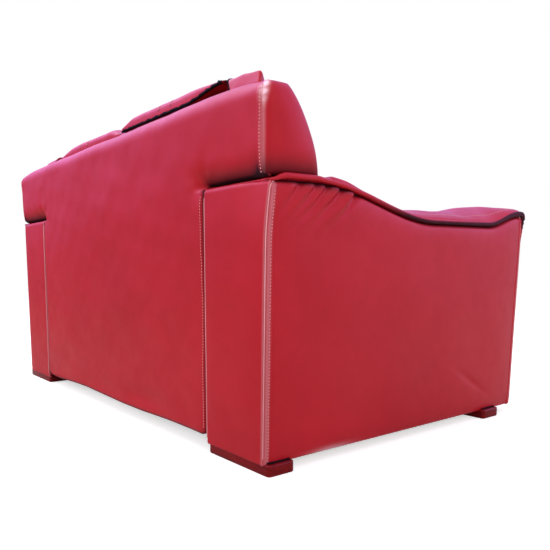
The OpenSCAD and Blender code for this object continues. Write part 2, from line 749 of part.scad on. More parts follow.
module foot(side, row) {
    stud_depth = foot_h - 6;
    color("maroon") on_side(side) translate([foot_x, foot_ys[row], 0]) difference() {
        linear_extrude(foot_h) rounded(foot_w, foot_d, foot_round);
        translate([0, 0, foot_h - stud_depth]) cylinder(r = foot_bolt_r + bolt_gap, h = stud_depth + 1);
    }
}

module foot_liners() {
    inset = 2;
    color("black") for (side = [left, right]) on_side(side) for (y = foot_ys)
        translate([foot_x, y, foot_h]) difference() {
            linear_extrude(liner_t) rounded(foot_w - 2 * inset, foot_d - 2 * inset, foot_round);
            translate([0, 0, -1]) cylinder(r = foot_bolt_r + bolt_gap, h = liner_t + 2);
        }
}

module foot_bolts() {
    nut_h = 7;
    end_z = 7;
    top = arm_z + board_t;
    color("gray") for (side = [left, right]) on_side(side) for (y = foot_ys) translate([foot_x, y, 0]) {
        translate([0, 0, end_z]) cylinder(r = foot_bolt_r, h = top + nut_h - end_z);
        translate([0, 0, top]) cylinder(r = 2 * foot_bolt_r, h = nut_h, $fn = 6);
    }
}

module arm_bolts() {
    head_t = 7;
    end = 4;
    nut_x = inner_ply_x + ply_t;
    color("gray") for (side = [left, right]) on_side(side) for (y = arm_bolt_ys)
        translate([frame_x, y, arm_bolt_z]) rotate([0, 90, 0]) {
            translate([0, 0, -head_t]) cylinder(r = 2 * arm_bolt_r, h = head_t, $fn = 6);
            cylinder(r = arm_bolt_r, h = nut_x - frame_x + head_t + end);
            translate([0, 0, nut_x - frame_x]) cylinder(r = 2 * arm_bolt_r, h = head_t, $fn = 6);
        }
}

arm_outer_panel(left);  // arm_outer_panel_left
arm_outer_panel(right);  // arm_outer_panel_right
arm_inner_panel(left);  // arm_inner_panel_left
arm_inner_panel(right);  // arm_inner_panel_right
arm_top_pad(left);  // arm_top_pad_left
arm_top_pad(right);  // arm_top_pad_right
arm_front_panel(left);  // arm_front_panel_left
arm_front_panel(right);  // arm_front_panel_right
arm_rear_panel(left);  // arm_rear_panel_left
arm_rear_panel(right);  // arm_rear_panel_right
arm_welts(left);  // arm_welts_left
arm_welts(right);  // arm_welts_right
arm_outer_ply(left);  // arm_outer_ply_left
arm_outer_ply(right);  // arm_outer_ply_right
arm_inner_ply(left);  // arm_inner_ply_left
arm_inner_ply(right);  // arm_inner_ply_right
arm_top_board(left);  // arm_top_board_left
arm_top_board(right);  // arm_top_board_right
arm_blocks(left);  // arm_blocks_left
arm_blocks(right);  // arm_blocks_right
back_cover();
wing_pad(left);  // wing_pad_left
wing_pad(right);  // wing_pad_right
wing_end_panel(left);  // wing_end_panel_left
wing_end_panel(right);  // wing_end_panel_right
shoulder_pad(left);  // shoulder_pad_left
shoulder_pad(right);  // shoulder_pad_right
back_posts();
back_top_rail();
back_webbing();
back_cushion(left);  // back_cushion_left
back_cushion(right);  // back_cushion_right
headrest_pad(left);  // headrest_pad_left
headrest_pad(right);  // headrest_pad_right
headrest_board(left);  // headrest_board_left
headrest_board(right);  // headrest_board_right
headrest_lining(left);  // headrest_lining_left
headrest_lining(right);  // headrest_lining_right
headrest_leaves(left);  // headrest_leaves_left
headrest_leaves(right);  // headrest_leaves_right
hinge_brackets();
hinge_pins();
front_rail();
rear_rail();
side_rails();
centre_rail();
seat_webbing();
seat_deck_pad();
seat_cushion(left);  // seat_cushion_left
seat_cushion(right);  // seat_cushion_right
front_border();
dust_cover();
foot(left, 0);  // foot_rear_left
foot(right, 0);  // foot_rear_right
foot(left, 1);  // foot_front_left
foot(right, 1);  // foot_front_right
foot_liners();
foot_bolts();
arm_bolts();
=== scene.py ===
import math

import bpy
import numpy as np
from mathutils import Matrix, Vector
from mathutils.bvhtree import BVHTree


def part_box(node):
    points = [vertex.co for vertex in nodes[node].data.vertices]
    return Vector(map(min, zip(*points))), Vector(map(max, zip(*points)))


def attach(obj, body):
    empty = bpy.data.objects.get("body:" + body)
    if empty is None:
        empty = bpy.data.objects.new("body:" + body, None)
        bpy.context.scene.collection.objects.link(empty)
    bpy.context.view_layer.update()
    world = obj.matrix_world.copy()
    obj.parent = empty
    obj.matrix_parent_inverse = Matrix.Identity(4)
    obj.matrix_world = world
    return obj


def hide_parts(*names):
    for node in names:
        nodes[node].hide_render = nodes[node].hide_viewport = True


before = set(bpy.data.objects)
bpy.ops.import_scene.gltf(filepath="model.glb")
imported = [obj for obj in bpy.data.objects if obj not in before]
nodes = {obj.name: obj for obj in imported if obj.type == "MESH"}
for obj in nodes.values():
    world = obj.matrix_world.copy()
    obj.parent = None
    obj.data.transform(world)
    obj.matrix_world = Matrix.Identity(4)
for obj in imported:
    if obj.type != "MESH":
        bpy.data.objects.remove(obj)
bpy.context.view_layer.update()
scene = bpy.context.scene
print("frame loaded:", len(nodes), "nodes")

# main planes of the sofa in metres, the same as the solids'; the left side is +X
sofa = {
    "seamIn": 0.583, "seamOut": 0.799, "armZ": 0.030,
    "yRear": 0.506, "yFront": -0.502, "plyRear": 0.498, "plyFront": -0.488,
    "rearH": 0.656, "dipH": 0.577, "tipH": 0.6125, "armLen": 1.008,
    "plateau": 0.140, "dipStart": 0.585, "dipEnd": 0.836, "sideFlare": 0.016, "frontFlare": 0.012,
    "weltR": 0.005, "wingX": 0.575, "wingOut": 0.800, "wingZ": 0.663,
    "ridgeH": 0.880, "rollR": 0.048, "rollY": 0.464, "rollZ": 0.832, "shellY": 0.512, "shellZ": 0.040,
    "frameY": 0.416, "hingeY": 0.316, "hingeZ": 0.872,
    "padFront": -0.020, "padRear": 0.138, "padFoot": 0.0145, "padX0": 0.003, "padX1": 0.570,
    "seamPair": 0.066, "deckZ": 0.270,
    "cornerBack": {1: 0.0, -1: 0.014}, "cornerZ": 0.500, "cornerReach": 0.13,
    "wingLean": {1: (0.008, 0.034), -1: (0.0, 0.0)},
}


# small curve helpers, all on arrays

def ease(t):
    return 0.5 - 0.5 * np.cos(np.pi * np.clip(t, 0, 1))


def mix(a, b, t):
    return a + (b - a) * t


def span(a, b, u):  # from a to b as u goes from -1 to 1
    return mix(a, b, (u + 1) / 2)


def ramp(x, start, length):
    return ease((x - start) / length)


def bell(distance, width):
    return np.exp(-(distance / width) ** 2)


def flatSwell(u, v, p, q=None):  # 1 over most of a square from -1 to 1, 0 at its border
    return (1 - np.abs(u) ** p) * (1 - np.abs(v) ** (q or p))


def archOver(v, p):  # 1 in the middle, falling steeply to 0 at -1 and 1
    return np.sqrt(np.clip(1 - np.abs(v) ** p, 0, None))


def rollIn(distance, radius):  # how far a surface has turned in, this far from its edge
    d = np.clip(radius - distance, 0, radius)
    return radius - np.sqrt(radius * radius - d * d)


def ripple(seed, wave, *coords):  # smooth waves of about that length, roughly -1 to 1
    rng = np.random.RandomState(seed)
    total = 0
    for _ in range(8):
        way = rng.normal(size=len(coords))
        way = way / np.linalg.norm(way) * 2 * math.pi / (wave * rng.uniform(0.7, 1.6))
        total = total + np.sin(sum(w * c for w, c in zip(way, coords)) + rng.uniform(0, 2 * math.pi))
    return total / 4


def slack(look, side, *coords):  # the leather's own soft waves, as deep and as long as the piece says
    deep, wave = look["slack"]
    return deep * ripple(look["seed"][side], wave, *coords)


def nearest(values, wanted):
    return int(np.argmin(np.abs(values - wanted)))


def armLine(y):  # height of the S-shaped edge of an arm
    s = sofa["yRear"] - y
    fall = ease((s - sofa["plateau"]) / (sofa["dipStart"] - sofa["plateau"]))
    rise = ease((s - sofa["dipEnd"]) / (sofa["armLen"] - sofa["dipEnd"]))
    rear = mix(sofa["rearH"], sofa["dipH"], fall)
    return np.where(s < sofa["dipStart"], rear, mix(sofa["dipH"], sofa["tipH"], rise))


def seamZ(y):
    return armLine(y) - sofa["weltR"]


def sideLean(z):
    return sofa["sideFlare"] * ((z - sofa["armZ"]) / (sofa["rearH"] - sofa["armZ"]) - 0.5)


def frontLean(z):
    return sofa["frontFlare"] * ((z - sofa["armZ"]) / (sofa["tipH"] - sofa["armZ"]) - 0.5)


def cornerTurn(side, z):  # the rear corner of an arm rounds off forwards near its top
    rise = np.clip((z - sofa["cornerZ"]) / (sofa["rearH"] - sofa["cornerZ"]), 0, 1)
    return sofa["cornerBack"][side] * rise ** 2


# shader sockets as Python values

class Wire:
    def __init__(self, tree, socket):
        self.tree = tree
        self.socket = socket

    def add(self, kind, settings=None, inputs=None, output=0):  # any node: its type, settings, then sockets
        made = self.tree.nodes.new(kind)
        for key, value in (settings or {}).items():
            setattr(made, key, value)
        for key, value in (inputs or {}).items():
            if isinstance(value, Wire):
                self.tree.links.new(value.socket, made.inputs[key])
            else:
                made.inputs[key].default_value = value
        return Wire(self.tree, made.outputs[output])

    def maths(self, operation, *others):
        return self.add("ShaderNodeMath", {"operation": operation}, dict(enumerate((self,) + others)))

    def __add__(self, other):
        return self.maths("ADD", other)

    def __sub__(self, other):
        return self.maths("SUBTRACT", other)

    def __mul__(self, other):
        return self.maths("MULTIPLY", other)

    def __rsub__(self, other):
        return self.add("ShaderNodeMath", {"operation": "SUBTRACT"}, {0: other, 1: self})

    __radd__ = __add__
    __rmul__ = __mul__

    def between(self, low, high):  # 0 below low, 1 above high
        return self.add("ShaderNodeMapRange", {"clamp": True},
                        {"Value": self, "From Min": low, "From Max": high})

    def tint(self, first, second):  # colour from first to second as this value goes from 0 to 1
        return self.add("ShaderNodeMix", {"data_type": "RGBA"}, {0: self, 6: first, 7: second}, 2)

    def part(self, axis):
        return self.add("ShaderNodeSeparateXYZ", None, {0: self}, axis)

    def along(self, way):  # how far this vector points that way
        return self.add("ShaderNodeVectorMath", {"operation": "DOT_PRODUCT"}, {0: self, 1: way}, 1)

    def stretch(self, x, y, z):
        return self.add("ShaderNodeMapping", None, {"Vector": self, "Scale": (x, y, z)})

    def noise(self, scale, detail=2.0, roughness=0.5):
        return self.add("ShaderNodeTexNoise", None,
                        {"Vector": self, "Scale": scale, "Detail": detail, "Roughness": roughness})

    def mark(self, name):  # a value stored on the mesh's points
        return self.add("ShaderNodeAttribute", {"attribute_name": name}, output=2)

    def bump(self, strength, distance):
        return self.add("ShaderNodeBump", None, {"Height": self, "Strength": strength, "Distance": distance})


def rgb(r, g, b):
    return (r, g, b, 1.0)


def startFinish(name):  # a new material, its Principled node and the object's own coordinates
    made = bpy.data.materials.new(name)
    made.use_nodes = True
    tree = made.node_tree
    shader = tree.nodes["Principled BSDF"]
    place = Wire(tree, tree.nodes.new("ShaderNodeTexCoord").outputs["Object"])
    return made, shader, place


def plug(shader, **links):
    for key, value in links.items():
        socket = shader.inputs[key.replace("_", " ")]
        if isinstance(value, Wire):
            shader.id_data.links.new(value.socket, socket)
        else:
            socket.default_value = value


# the near-black red is a painted-shade colour, the pale pink a painted-highlight colour
leatherLook = {"base": rgb(0.440, 0.0090, 0.0180), "deep": rgb(0.340, 0.0065, 0.0125),
               "highlit": rgb(0.86, 0.54, 0.60), "shade": rgb(0.018, 0.0030, 0.0060),
               "cloud": 3.2, "blotch": 26.0, "fine": 240.0, "speck": 420.0, "pebble": 560.0,
               "grain": 0.12, "rough": 0.36, "shine": 0.22}


def leatherFinish(name, look):
    made, shader, place = startFinish(name)
    cloud = place.noise(look["cloud"], 3.0, 0.55)
    blotch = place.noise(look["blotch"], 3.0, 0.6)
    fine = place.noise(look["fine"])
    speck = place.noise(look["speck"])
    pebble = place.add("ShaderNodeTexVoronoi", {"feature": "SMOOTH_F1"},
                       {"Vector": place, "Scale": look["pebble"], "Smoothness": 0.6})
    # The painted-shade mark darkens the leather to its near-black shade colour and roughens it: painted shade
    # in grooves, seams and under edges.
    paintedShade = place.mark("paintedShade")
    # The glint mark turns speckled spots pale pink and a little glossier: painted highlights standing for
    # glints on edges and seams.
    glintSpots = place.mark("paintedGlint") * speck.between(0.0, 0.45)
    patch = cloud.between(0.30, 0.72) * 0.55 + blotch.between(0.30, 0.75) * 0.30
    tone = patch.tint(look["base"], look["deep"])
    tone = glintSpots.tint(tone, look["highlit"])
    tone = paintedShade.between(0.0, 1.0).tint(tone, look["shade"])
    rough = look["rough"] + cloud.between(0.3, 0.7) * 0.07 + blotch.between(0.35, 0.7) * 0.05
    rough = rough - glintSpots * 0.05 + paintedShade * 0.35
    height = pebble.between(0.0, 0.75) * 0.7 + fine * 0.3
    plug(shader, Base_Color=tone, Roughness=rough, Normal=height.bump(look["grain"], 0.0006))
    plug(shader, Specular_IOR_Level=look["shine"])
    return made


woodLook = {"light": rgb(0.60, 0.43, 0.26), "dark": rgb(0.42, 0.27, 0.14)}


def timberFinish(name, look):
    made, shader, place = startFinish(name)
    grain = place.stretch(9.0, 9.0, 70.0).noise(2.0, 6.0, 0.62)
    ring = place.stretch(6.0, 6.0, 38.0).add("ShaderNodeTexWave", None,
                                             {"Scale": 1.6, "Distortion": 7.0, "Detail": 2.0}, 1)
    tone = (grain * 0.6 + ring * 0.4).between(0.25, 0.75).tint(look["light"], look["dark"])
    plug(shader, Base_Color=tone, Roughness=0.62 + grain * 0.2, Normal=grain.bump(0.25, 0.0008))
    return made


footLook = {"light": rgb(0.200, 0.0045, 0.0060), "dark": rgb(0.095, 0.0030, 0.0035)}


def lacquerFinish(name, look):
    made, shader, place = startFinish(name)
    grain = place.stretch(3.0, 34.0, 60.0).noise(2.4, 6.0, 0.6)
    smear = place.noise(30.0, 3.0).between(0.4, 0.7)
    tone = grain.between(0.32, 0.70).tint(look["light"], look["dark"])
    plug(shader, Base_Color=tone, Roughness=0.14 + smear * 0.12, Normal=grain.bump(0.05, 0.0004))
    plug(shader, Specular_IOR_Level=0.10, Coat_Weight=0.05, Coat_Roughness=0.06)
    return made


def clothFinish(name, first, second, thread):  # woven cloth, two colours of yarn
    made, shader, place = startFinish(name)
    yarn = {"Vector": place, "Scale": thread, "Distortion": 0.6}
    warp = place.add("ShaderNodeTexWave", {"bands_direction": "X"}, yarn, 1)
    weft = place.add("ShaderNodeTexWave", {"bands_direction": "Y"}, yarn, 1)
    fuzz = place.noise(180.0, 3.0)
    weave = warp * weft
    tone = (weave * 0.7 + fuzz * 0.3).tint(first, second)
    plug(shader, Base_Color=tone, Roughness=0.82 + fuzz * 0.12, Normal=weave.bump(0.35, 0.0005))
    plug(shader, Specular_IOR_Level=0.12)
    return made


def steelFinish(name):
    made, shader, place = startFinish(name)
    brush = place.stretch(4.0, 140.0, 140.0).noise(3.0, 4.0)
    # kept dark so that the hinges read as shade in the gaps: a dark steel, partly painted shade
    tone = brush.tint(rgb(0.16, 0.16, 0.17), rgb(0.27, 0.27, 0.28))
    plug(shader, Base_Color=tone, Metallic=1.0, Roughness=0.28 + brush * 0.18)
    return made


def threadFinish(name, light, dark):
    made, shader, place = startFinish(name)
    twist = place.noise(700.0)
    plug(shader, Base_Color=twist.tint(dark, light), Roughness=0.55 + twist * 0.2)
    return made


redLeather = leatherFinish("red leather", leatherLook)
# a pale copy of the red leather for the thin folds up the arm corners: a painted highlight
foldLeather = leatherFinish("red leather, worn fold",
                            dict(leatherLook, base=rgb(0.82, 0.40, 0.43), deep=rgb(0.66, 0.20, 0.23)))
frameTimber = timberFinish("sawn frame timber", woodLook)
footLacquer = lacquerFinish("dark red lacquer", footLook)
blackLining = clothFinish("black lining", rgb(0.0015, 0.0010, 0.0015), rgb(0.007, 0.005, 0.007), 420.0)
strapWeb = clothFinish("elastic webbing", rgb(0.010, 0.010, 0.010), rgb(0.030, 0.028, 0.027), 300.0)
deckFelt = clothFinish("pressed felt", rgb(0.020, 0.018, 0.018), rgb(0.050, 0.047, 0.046), 90.0)
hingeSteel = steelFinish("dark steel")
paleThread = threadFinish("pale red thread", rgb(0.86, 0.52, 0.52), rgb(0.62, 0.26, 0.27))
print("finishes made")


# meshes

def xyz(x, y, z):
    return np.stack(np.broadcast_arrays(x, y, z), -1)


def graded(count, power=1.0):  # -1 to 1, closer together towards both ends
    t = np.linspace(-1, 1, count)
    return mix(t, np.sin(t * math.pi / 2), power)


def cells(across, acrossPower, up, upPower):  # a grid of u and v
    return np.meshgrid(graded(across, acrossPower), graded(up, upPower), indexing="ij")


def store(mesh, key, values):
    mesh.attributes.new(key, "FLOAT", "POINT").data.foreach_set("value", np.asarray(values, np.float32))


def makePiece(name, points, faces, marks=None, side=1):
    points = np.array(points, float)
    if side < 0:  # mirrored to the right side, with its faces turned back
        points[:, 0] *= -1
        faces = [f[::-1] for f in faces]
    mesh = bpy.data.meshes.new(name)
    mesh.from_pydata(points.tolist(), [], faces)
    for key, values in (marks or {}).items():
        store(mesh, key, values)
    mesh.shade_smooth()
    mesh.update()
    made = bpy.data.objects.new(name, mesh)
    scene.collection.objects.link(made)
    return made


def closedGrid(name, outer, inner, marks=None, keep=None, side=1):
    # outer and inner are [u, v, xyz] grids, u x v points outwards, keep marks the cells that exist
    nu, nv = outer.shape[:2]
    count = nu * nv
    ids = np.arange(count).reshape(nu, nv)
    i, j = np.nonzero(np.ones((nu - 1, nv - 1), bool) if keep is None else keep)
    quads = np.stack([ids[i, j], ids[i + 1, j], ids[i + 1, j + 1], ids[i, j + 1]], 1)
    edges = np.concatenate([quads[:, [k, (k + 1) % 4]] for k in range(4)])
    lone = ~np.isin(edges[:, 0] * count + edges[:, 1], edges[:, 1] * count + edges[:, 0])
    a, b = edges[lone].T
    faces = np.concatenate([quads, quads[:, ::-1] + count, np.stack([b, a, a + count, b + count], 1)])
    used, faces = np.unique(faces, return_inverse=True)
    points = np.concatenate([outer.reshape(-1, 3), inner.reshape(-1, 3)])[used]
    marks = {k: np.concatenate([m.ravel(), np.zeros(count)])[used] for k, m in (marks or {}).items()}
    return makePiece(name, points, faces.reshape(-1, 4).tolist(), marks, side)


def loft(name, loops, marks=None, side=1, fan=True):  # closed rings [n, m, xyz] in a row, with flat ends
    n, m = loops.shape[:2]
    top = (n - 1) * m
    turns = [(i, (i + 1) % m) for i in range(m)]
    faces = [[k + i, k + j, k + m + j, k + m + i] for k in range(0, top, m) for i, j in turns]
    points = loops.reshape(-1, 3)
    marks = {k: v.ravel() for k, v in (marks or {}).items()}
    if fan:  # each end turns round its own middle
        points = np.concatenate([points, [loops[0].mean(0), loops[-1].mean(0)]])
        marks = {k: np.append(v, [v[0], v[-1]]) for k, v in marks.items()}
        for i, j in turns:
            faces.append([n * m, j, i])
            faces.append([n * m + 1, top + i, top + j])
    else:
        faces.append(list(range(m - 1, -1, -1)))
        faces.append(list(range(top, n * m)))
    return makePiece(name, points, faces, marks, side)


def softLoop(corners, count, passes):  # closed outline through the corners, evenly spaced and rounded
    ring = np.array(list(corners) + [corners[0]], float)
    length = np.concatenate([[0], np.cumsum(np.linalg.norm(np.diff(ring, axis=0), axis=1))])
    at = np.linspace(0, length[-1], count, endpoint=False)
    loop = np.stack([np.interp(at, length, ring[:, k]) for k in range(ring.shape[1])], 1)
    for _ in range(passes):
        loop = 0.5 * loop + 0.25 * (np.roll(loop, 1, 0) + np.roll(loop, -1, 0))
    return loop


def drawIn(loop, mid, shrink, reach, least):  # pulls a ring towards its middle, for a rounded end
    away = loop - mid
    far = np.linalg.norm(away, axis=1, keepdims=True)
    return mid + away * np.clip(1 - shrink / np.maximum(far, reach), least, 1)


def settle(piece, body, finish, replaced=()):
    piece.data.materials.clear()
    piece.data.materials.append(finish)
    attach(piece, body)
    if replaced:
        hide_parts(*replaced)


def cover(piece, node, body="sofa"):  # red leather over padding, in place of a solid
    settle(piece, body, redLeather, [node])


sideName = {1: "left", -1: "right"}
stitchRuns = {"sofa": [], "headrest_left": [], "headrest_right": []}  # stitch paths for each body


def run(points, side=1):
    return [Vector((p[0] * side, p[1], p[2])) for p in points]


def sew(points, lift, side=1, body="sofa"):  # a row of stitches, lifted clear of the leather
    stitchRuns[body].append(run(points + np.array(lift), side))


# arms

armSide = {"hem": 0.0215, "plane": 0.007, "bulge": 0.008, "band": 0.016, "bandLift": 0.0010, "groove": 0.0016,
           "corner": 0.005, "foot": 0.005, "tuck": 0.010, "frontOver": 0.008, "rearOver": 0.006, "deep": 0.02,
           "along": 230, "up": 130, "stitchIn": 0.0125, "stitchRow": 60, "stitchUp": 0.0004,
           "slack": (0.0011, 0.23), "seed": {1: 11, -1: 17},
           "dent": 0.0028, "dentY": -0.27, "dentZ": 0.125, "gatherWidth": 0.0160, "gatherFall": 0.046,
           "gathers": ((0.072, 7.0, 0.75), (0.122, 12.0, 0.85), (0.158, 11.0, 0.95), (0.203, 13.5, 0.85),
                       (0.252, 14.0, 0.80))}  # place along the arm, depth in mm, slant


def armSkin(side, y, z, u, v):  # how far the outer side stands out beyond its seam plane
    below = armLine(y) - z
    s = sofa["yRear"] - y
    width = armSide["gatherWidth"]
    puff = np.where(v < 0, flatSwell(u, 0 * v, 12) * flatSwell(0 * u, v, 16), flatSwell(u, v, 12, 20))
    out = armSide["plane"] + armSide["bulge"] * puff - armSide["tuck"] * bell(below, 0.006)
    fade = np.exp(-(below / armSide["gatherFall"]) ** 1.4) * (1 - np.exp(-below / 0.004))
    wander = 0.004 * ripple(armSide["seed"][side] + 3, 0.07, y, z)
    for at, depth, slant in armSide["gathers"]:
        q = s + slant * below + 2.2 * below ** 2 - at + wander
        fold = bell(q, width) - 0.9 * bell(q - 1.5 * width, 0.7 * width)
        out = out + 0.001 * depth * fold * fade
    return out + slack(armSide, side, y, z) * puff


def buildArmSide(side):
    u, v = cells(armSide["along"], 0.35, armSide["up"], 0.5)
    z = span(armSide["hem"], sofa["rearH"], v)
    first = sofa["yFront"] - armSide["frontOver"] - frontLean(z)
    last = sofa["yRear"] + armSide["rearOver"] - cornerTurn(side, z)
    y = span(first, last, u)
    z = span(armSide["hem"], armLine(y), v)
    edges = (last - y, y - first)
    out = armSkin(side, y, z, u, v) - rollIn(z - armSide["hem"], armSide["foot"])
    for edge in edges:
        past = edge - armSide["band"]
        out = out - rollIn(edge, armSide["corner"]) + armSide["bandLift"] * (1 - ramp(past, -0.002, 0.004))
        out = out - armSide["groove"] * bell(past - 0.001, 0.003)
    ahead = y - armSide["dentY"]
    dent = bell(z - armSide["dentZ"] - 0.55 * ahead, 0.012) * bell(ahead, 0.075)  # a slack fold pressed in low down
    outer = xyz(sofa["seamOut"] + sideLean(z) + out - armSide["dent"] * dent, y, z)
    inner = xyz(sofa["seamOut"] - armSide["deep"], span(sofa["plyFront"], sofa["plyRear"], u), z)
    # painted shadow just under the lip, widest a little ahead of the rear; painted highlight on the rear band
    # and a pale painted patch of light at the hem near the middle
    paintedShade = bell(armLine(y) - z, mix(0.0065, 0.0135, bell(sofa["yRear"] - y - 0.17, 0.10)))
    paintedGlint = 0.22 * bell(edges[0] - 0.007, 0.006) + 0.7 * bell(z - armSide["hem"], 0.010) * bell(y - 0.30, 0.06)
    made = closedGrid("armSide." + sideName[side], outer, inner, {"paintedShade": paintedShade, "paintedGlint": paintedGlint}, side=side)
    for edge in edges:
        k = nearest(edge[:, armSide["stitchRow"]], armSide["stitchIn"])
        sew(outer[k, 5:-9], (armSide["stitchUp"], 0, 0), side)
    cover(made, "arm_outer_panel_" + sideName[side])


armTop = {"base": 0.004, "lip": 0.013, "rearLip": 0.001, "lipStart": 0.165, "lipLen": 0.03, "hump": 0.007,
          "crest": 0.6240, "tipCrest": 0.6475, "riseStart": 0.330, "riseLen": 0.260, "tipStart": 0.700,
          "tipLen": 0.230, "overhang": 0.009, "frontOver": 0.014, "rearGap": 0.006, "frontRound": 0.026,
          "rearRound": 0.012, "cornerLen": 0.10, "stations": 150, "across": 61, "under": 12,
          "stitchIn": 0.022, "stitchFront": 0.018, "stitchRear": 0.26, "stitchUp": 0.0004,
          "slack": (0.0014, 0.13), "seed": {1: 23, -1: 29}}


def armRise(y):  # lip height and crown of the top pad at a station
    s = sofa["yRear"] - y
    lip = mix(armTop["rearLip"], armTop["lip"], ramp(s, armTop["lipStart"], armTop["lipLen"]))
    lip = lip + armTop["hump"] * (ramp(s, 0.170, 0.03) - ramp(s, 0.235, 0.075))  # fuller ahead of the wing
    grown = ramp(s, armTop["riseStart"], armTop["riseLen"])
    crest = mix(armTop["crest"], armTop["tipCrest"], ramp(s, armTop["tipStart"], armTop["tipLen"]))
    return float(lip), float(grown * np.clip(crest - armLine(y) - armTop["base"] - lip, 0, None))


def buildArmTop(side):
    first = sofa["yFront"] - armTop["frontOver"] - float(frontLean(sofa["tipH"]))
    last = sofa["yRear"] - armTop["rearGap"]
    xi = sofa["seamIn"] - armTop["overhang"]
    v = graded(armTop["across"], 0.75)
    loops = []
    for y in span(first, last, graded(armTop["stations"], 0.8)):
        base = float(armLine(y)) + armTop["base"] - 0.001
        lip, crown = armRise(y)
        turned = rollIn(y - first, armTop["frontRound"]) / armTop["frontRound"]
        turned = float(turned + rollIn(last - y, armTop["rearRound"]) / armTop["rearRound"])
        xo = sofa["seamOut"] + float(sideLean(base)) + armTop["overhang"]
        x = (xo + xi) / 2 - ((xo - xi) / 2 - 0.008 * turned) * v
        wave = slack(armTop, side, x, 0 * x + y) * (1 - v ** 8) * min(crown / 0.03, 1)
        high = lip * archOver(v, 24) + crown * (1 - np.abs(v) ** 2.2) + wave
        z = base + high * (1 - 0.85 * turned)
        x = np.concatenate([x, np.linspace(x[-1], x[0], armTop["under"] + 2)[1:-1]])
        z = np.concatenate([z, np.full(armTop["under"], base - 0.003)])
        back = sofa["cornerBack"][side] * float(ease(1 - (last - y) / armTop["cornerLen"]))
        loops.append(xyz(x, y - back * ease(1 - (xo - x) / sofa["cornerReach"]), z))
    made = loft("armTop." + sideName[side], np.array(loops)[:, ::-1], None, side)
    mesh = made.data
    tree = BVHTree.FromPolygons([c.co for c in mesh.vertices], [list(p.vertices) for p in mesh.polygons])
    outerRow = sofa["seamOut"] + armTop["overhang"] - armTop["stitchIn"]
    for row, leans in ((outerRow, 1), (sofa["seamIn"] + armTop["stitchIn"], 0)):
        path = []
        for y in np.linspace(first + armTop["stitchFront"], sofa["yRear"] - armTop["stitchRear"], 120):
            x = row + leans * float(sideLean(armLine(y)))
            hit = tree.ray_cast(Vector((x * side, y, 0.9)), Vector((0, 0, -1)))[0]
            if hit:
                path.append(hit + Vector((0, 0, armTop["stitchUp"])))
        stitchRuns["sofa"].append(path)
    cover(made, "arm_top_pad_" + sideName[side])


armEnds = {"topRound": 0.014, "foot": 0.006, "across": 70, "up": 130, "inset": 0.002, "inner": 0.0065,
           "swell": 0.003, "stitchIn": 0.012, "stitchRow": 60, "stitchUp": 0.0005,
           "rear": {"top": sofa["rearH"] + 0.003, "plane": 0.010, "edge": 0.005,
                    "slack": (0.0010, 0.16), "seed": {1: 31, -1: 37}},
           "front": {"top": sofa["tipH"] + 0.002, "plane": 0.020, "edge": 0.011,
                     "slack": (0.0010, 0.16), "seed": {1: 41, -1: 43}}}


def buildArmEnd(side, end):
    look = armEnds[end]
    rear = end == "rear"
    u, v = cells(armEnds["across"], 0.6, armEnds["up"], 0.5)
    z = span(armSide["hem"], look["top"], v)
    outX = sofa["seamOut"] + sideLean(z) + armSide["plane"] - armEnds["inset"]
    inX = sofa["seamIn"] - armEnds["inner"]
    x = span(outX, inX, u) if rear else span(inX, outX, u)
    edge = np.minimum(x - inX, outX - x)
    lift = look["plane"] - rollIn(edge, look["edge"]) - rollIn(z - armSide["hem"], armEnds["foot"])
    lift = lift - rollIn(look["top"] - z, armEnds["topRound"]) + armEnds["swell"] * flatSwell(u, v, 4)
    lift = lift + slack(look, side, x, z) * flatSwell(u, v, 6) - armEnds["inset"]
    if rear:
        y = sofa["yRear"] + lift - cornerTurn(side, z) * ease(1 - (outX - x) / sofa["cornerReach"])
        inner = xyz(span(sofa["seamOut"], sofa["seamIn"], u), sofa["plyRear"], z)
    else:
        y = sofa["yFront"] - lift - frontLean(z)
        inner = xyz(span(sofa["seamIn"], sofa["seamOut"], u), sofa["plyFront"], z)
    outer = xyz(x, y, z)
    name = "arm" + end.title() + "." + sideName[side]
    # painted highlights along both upright edges
    made = closedGrid(name, outer, inner, {"paintedGlint": 0.2 * bell(edge - 0.002, 0.0025)}, side=side)
    if not rear:
        row = armEnds["stitchRow"]
        for at in (inX + armEnds["stitchIn"], outX[0, row] - armEnds["stitchIn"]):
            sew(outer[nearest(x[:, row], at), 5:-8], (0, -armEnds["stitchUp"], 0), side)
    cover(made, "arm_" + end + "_panel_" + sideName[side])


armInner = {"bulge": 0.008, "foot": 0.034, "deep": 0.02, "along": 130, "up": 60, "borderY": -0.455,
            "slack": (0.001, 0.2), "seed": {1: 47, -1: 53}}


def buildArmInner(side):
    u, v = cells(armInner["along"], 0.25, armInner["up"], 0.4)
    y = span(sofa["plyRear"], sofa["plyFront"], u)
    foot = mix(armInner["foot"], sofa["deckZ"], ramp(y, armInner["borderY"], 0.03))  # down beside the border
    z = span(foot, seamZ(y) - 0.001, v)
    wave = slack(armInner, side, y, z) * flatSwell(u, v, 6)
    outer = xyz(sofa["seamIn"] - armInner["bulge"] * flatSwell(u, v, 10, 14) - wave, y, z)
    inner = xyz(sofa["seamIn"] + armInner["deep"], y, z)
    # painted shade just under the seam at the top
    paintedShade = 0.8 * bell(seamZ(y) - z, 0.009)
    made = closedGrid("armInner." + sideName[side], outer, inner, {"paintedShade": paintedShade}, side=side)
    cover(made, "arm_inner_panel_" + sideName[side])


weltLook = {"edge": 0.0062, "start": 0.0038, "tip": 0.0084, "ruffle": 0.0011, "fold": 0.0011, "turn": 0.030,
            "tail": 0.070, "bound": 0.0022}


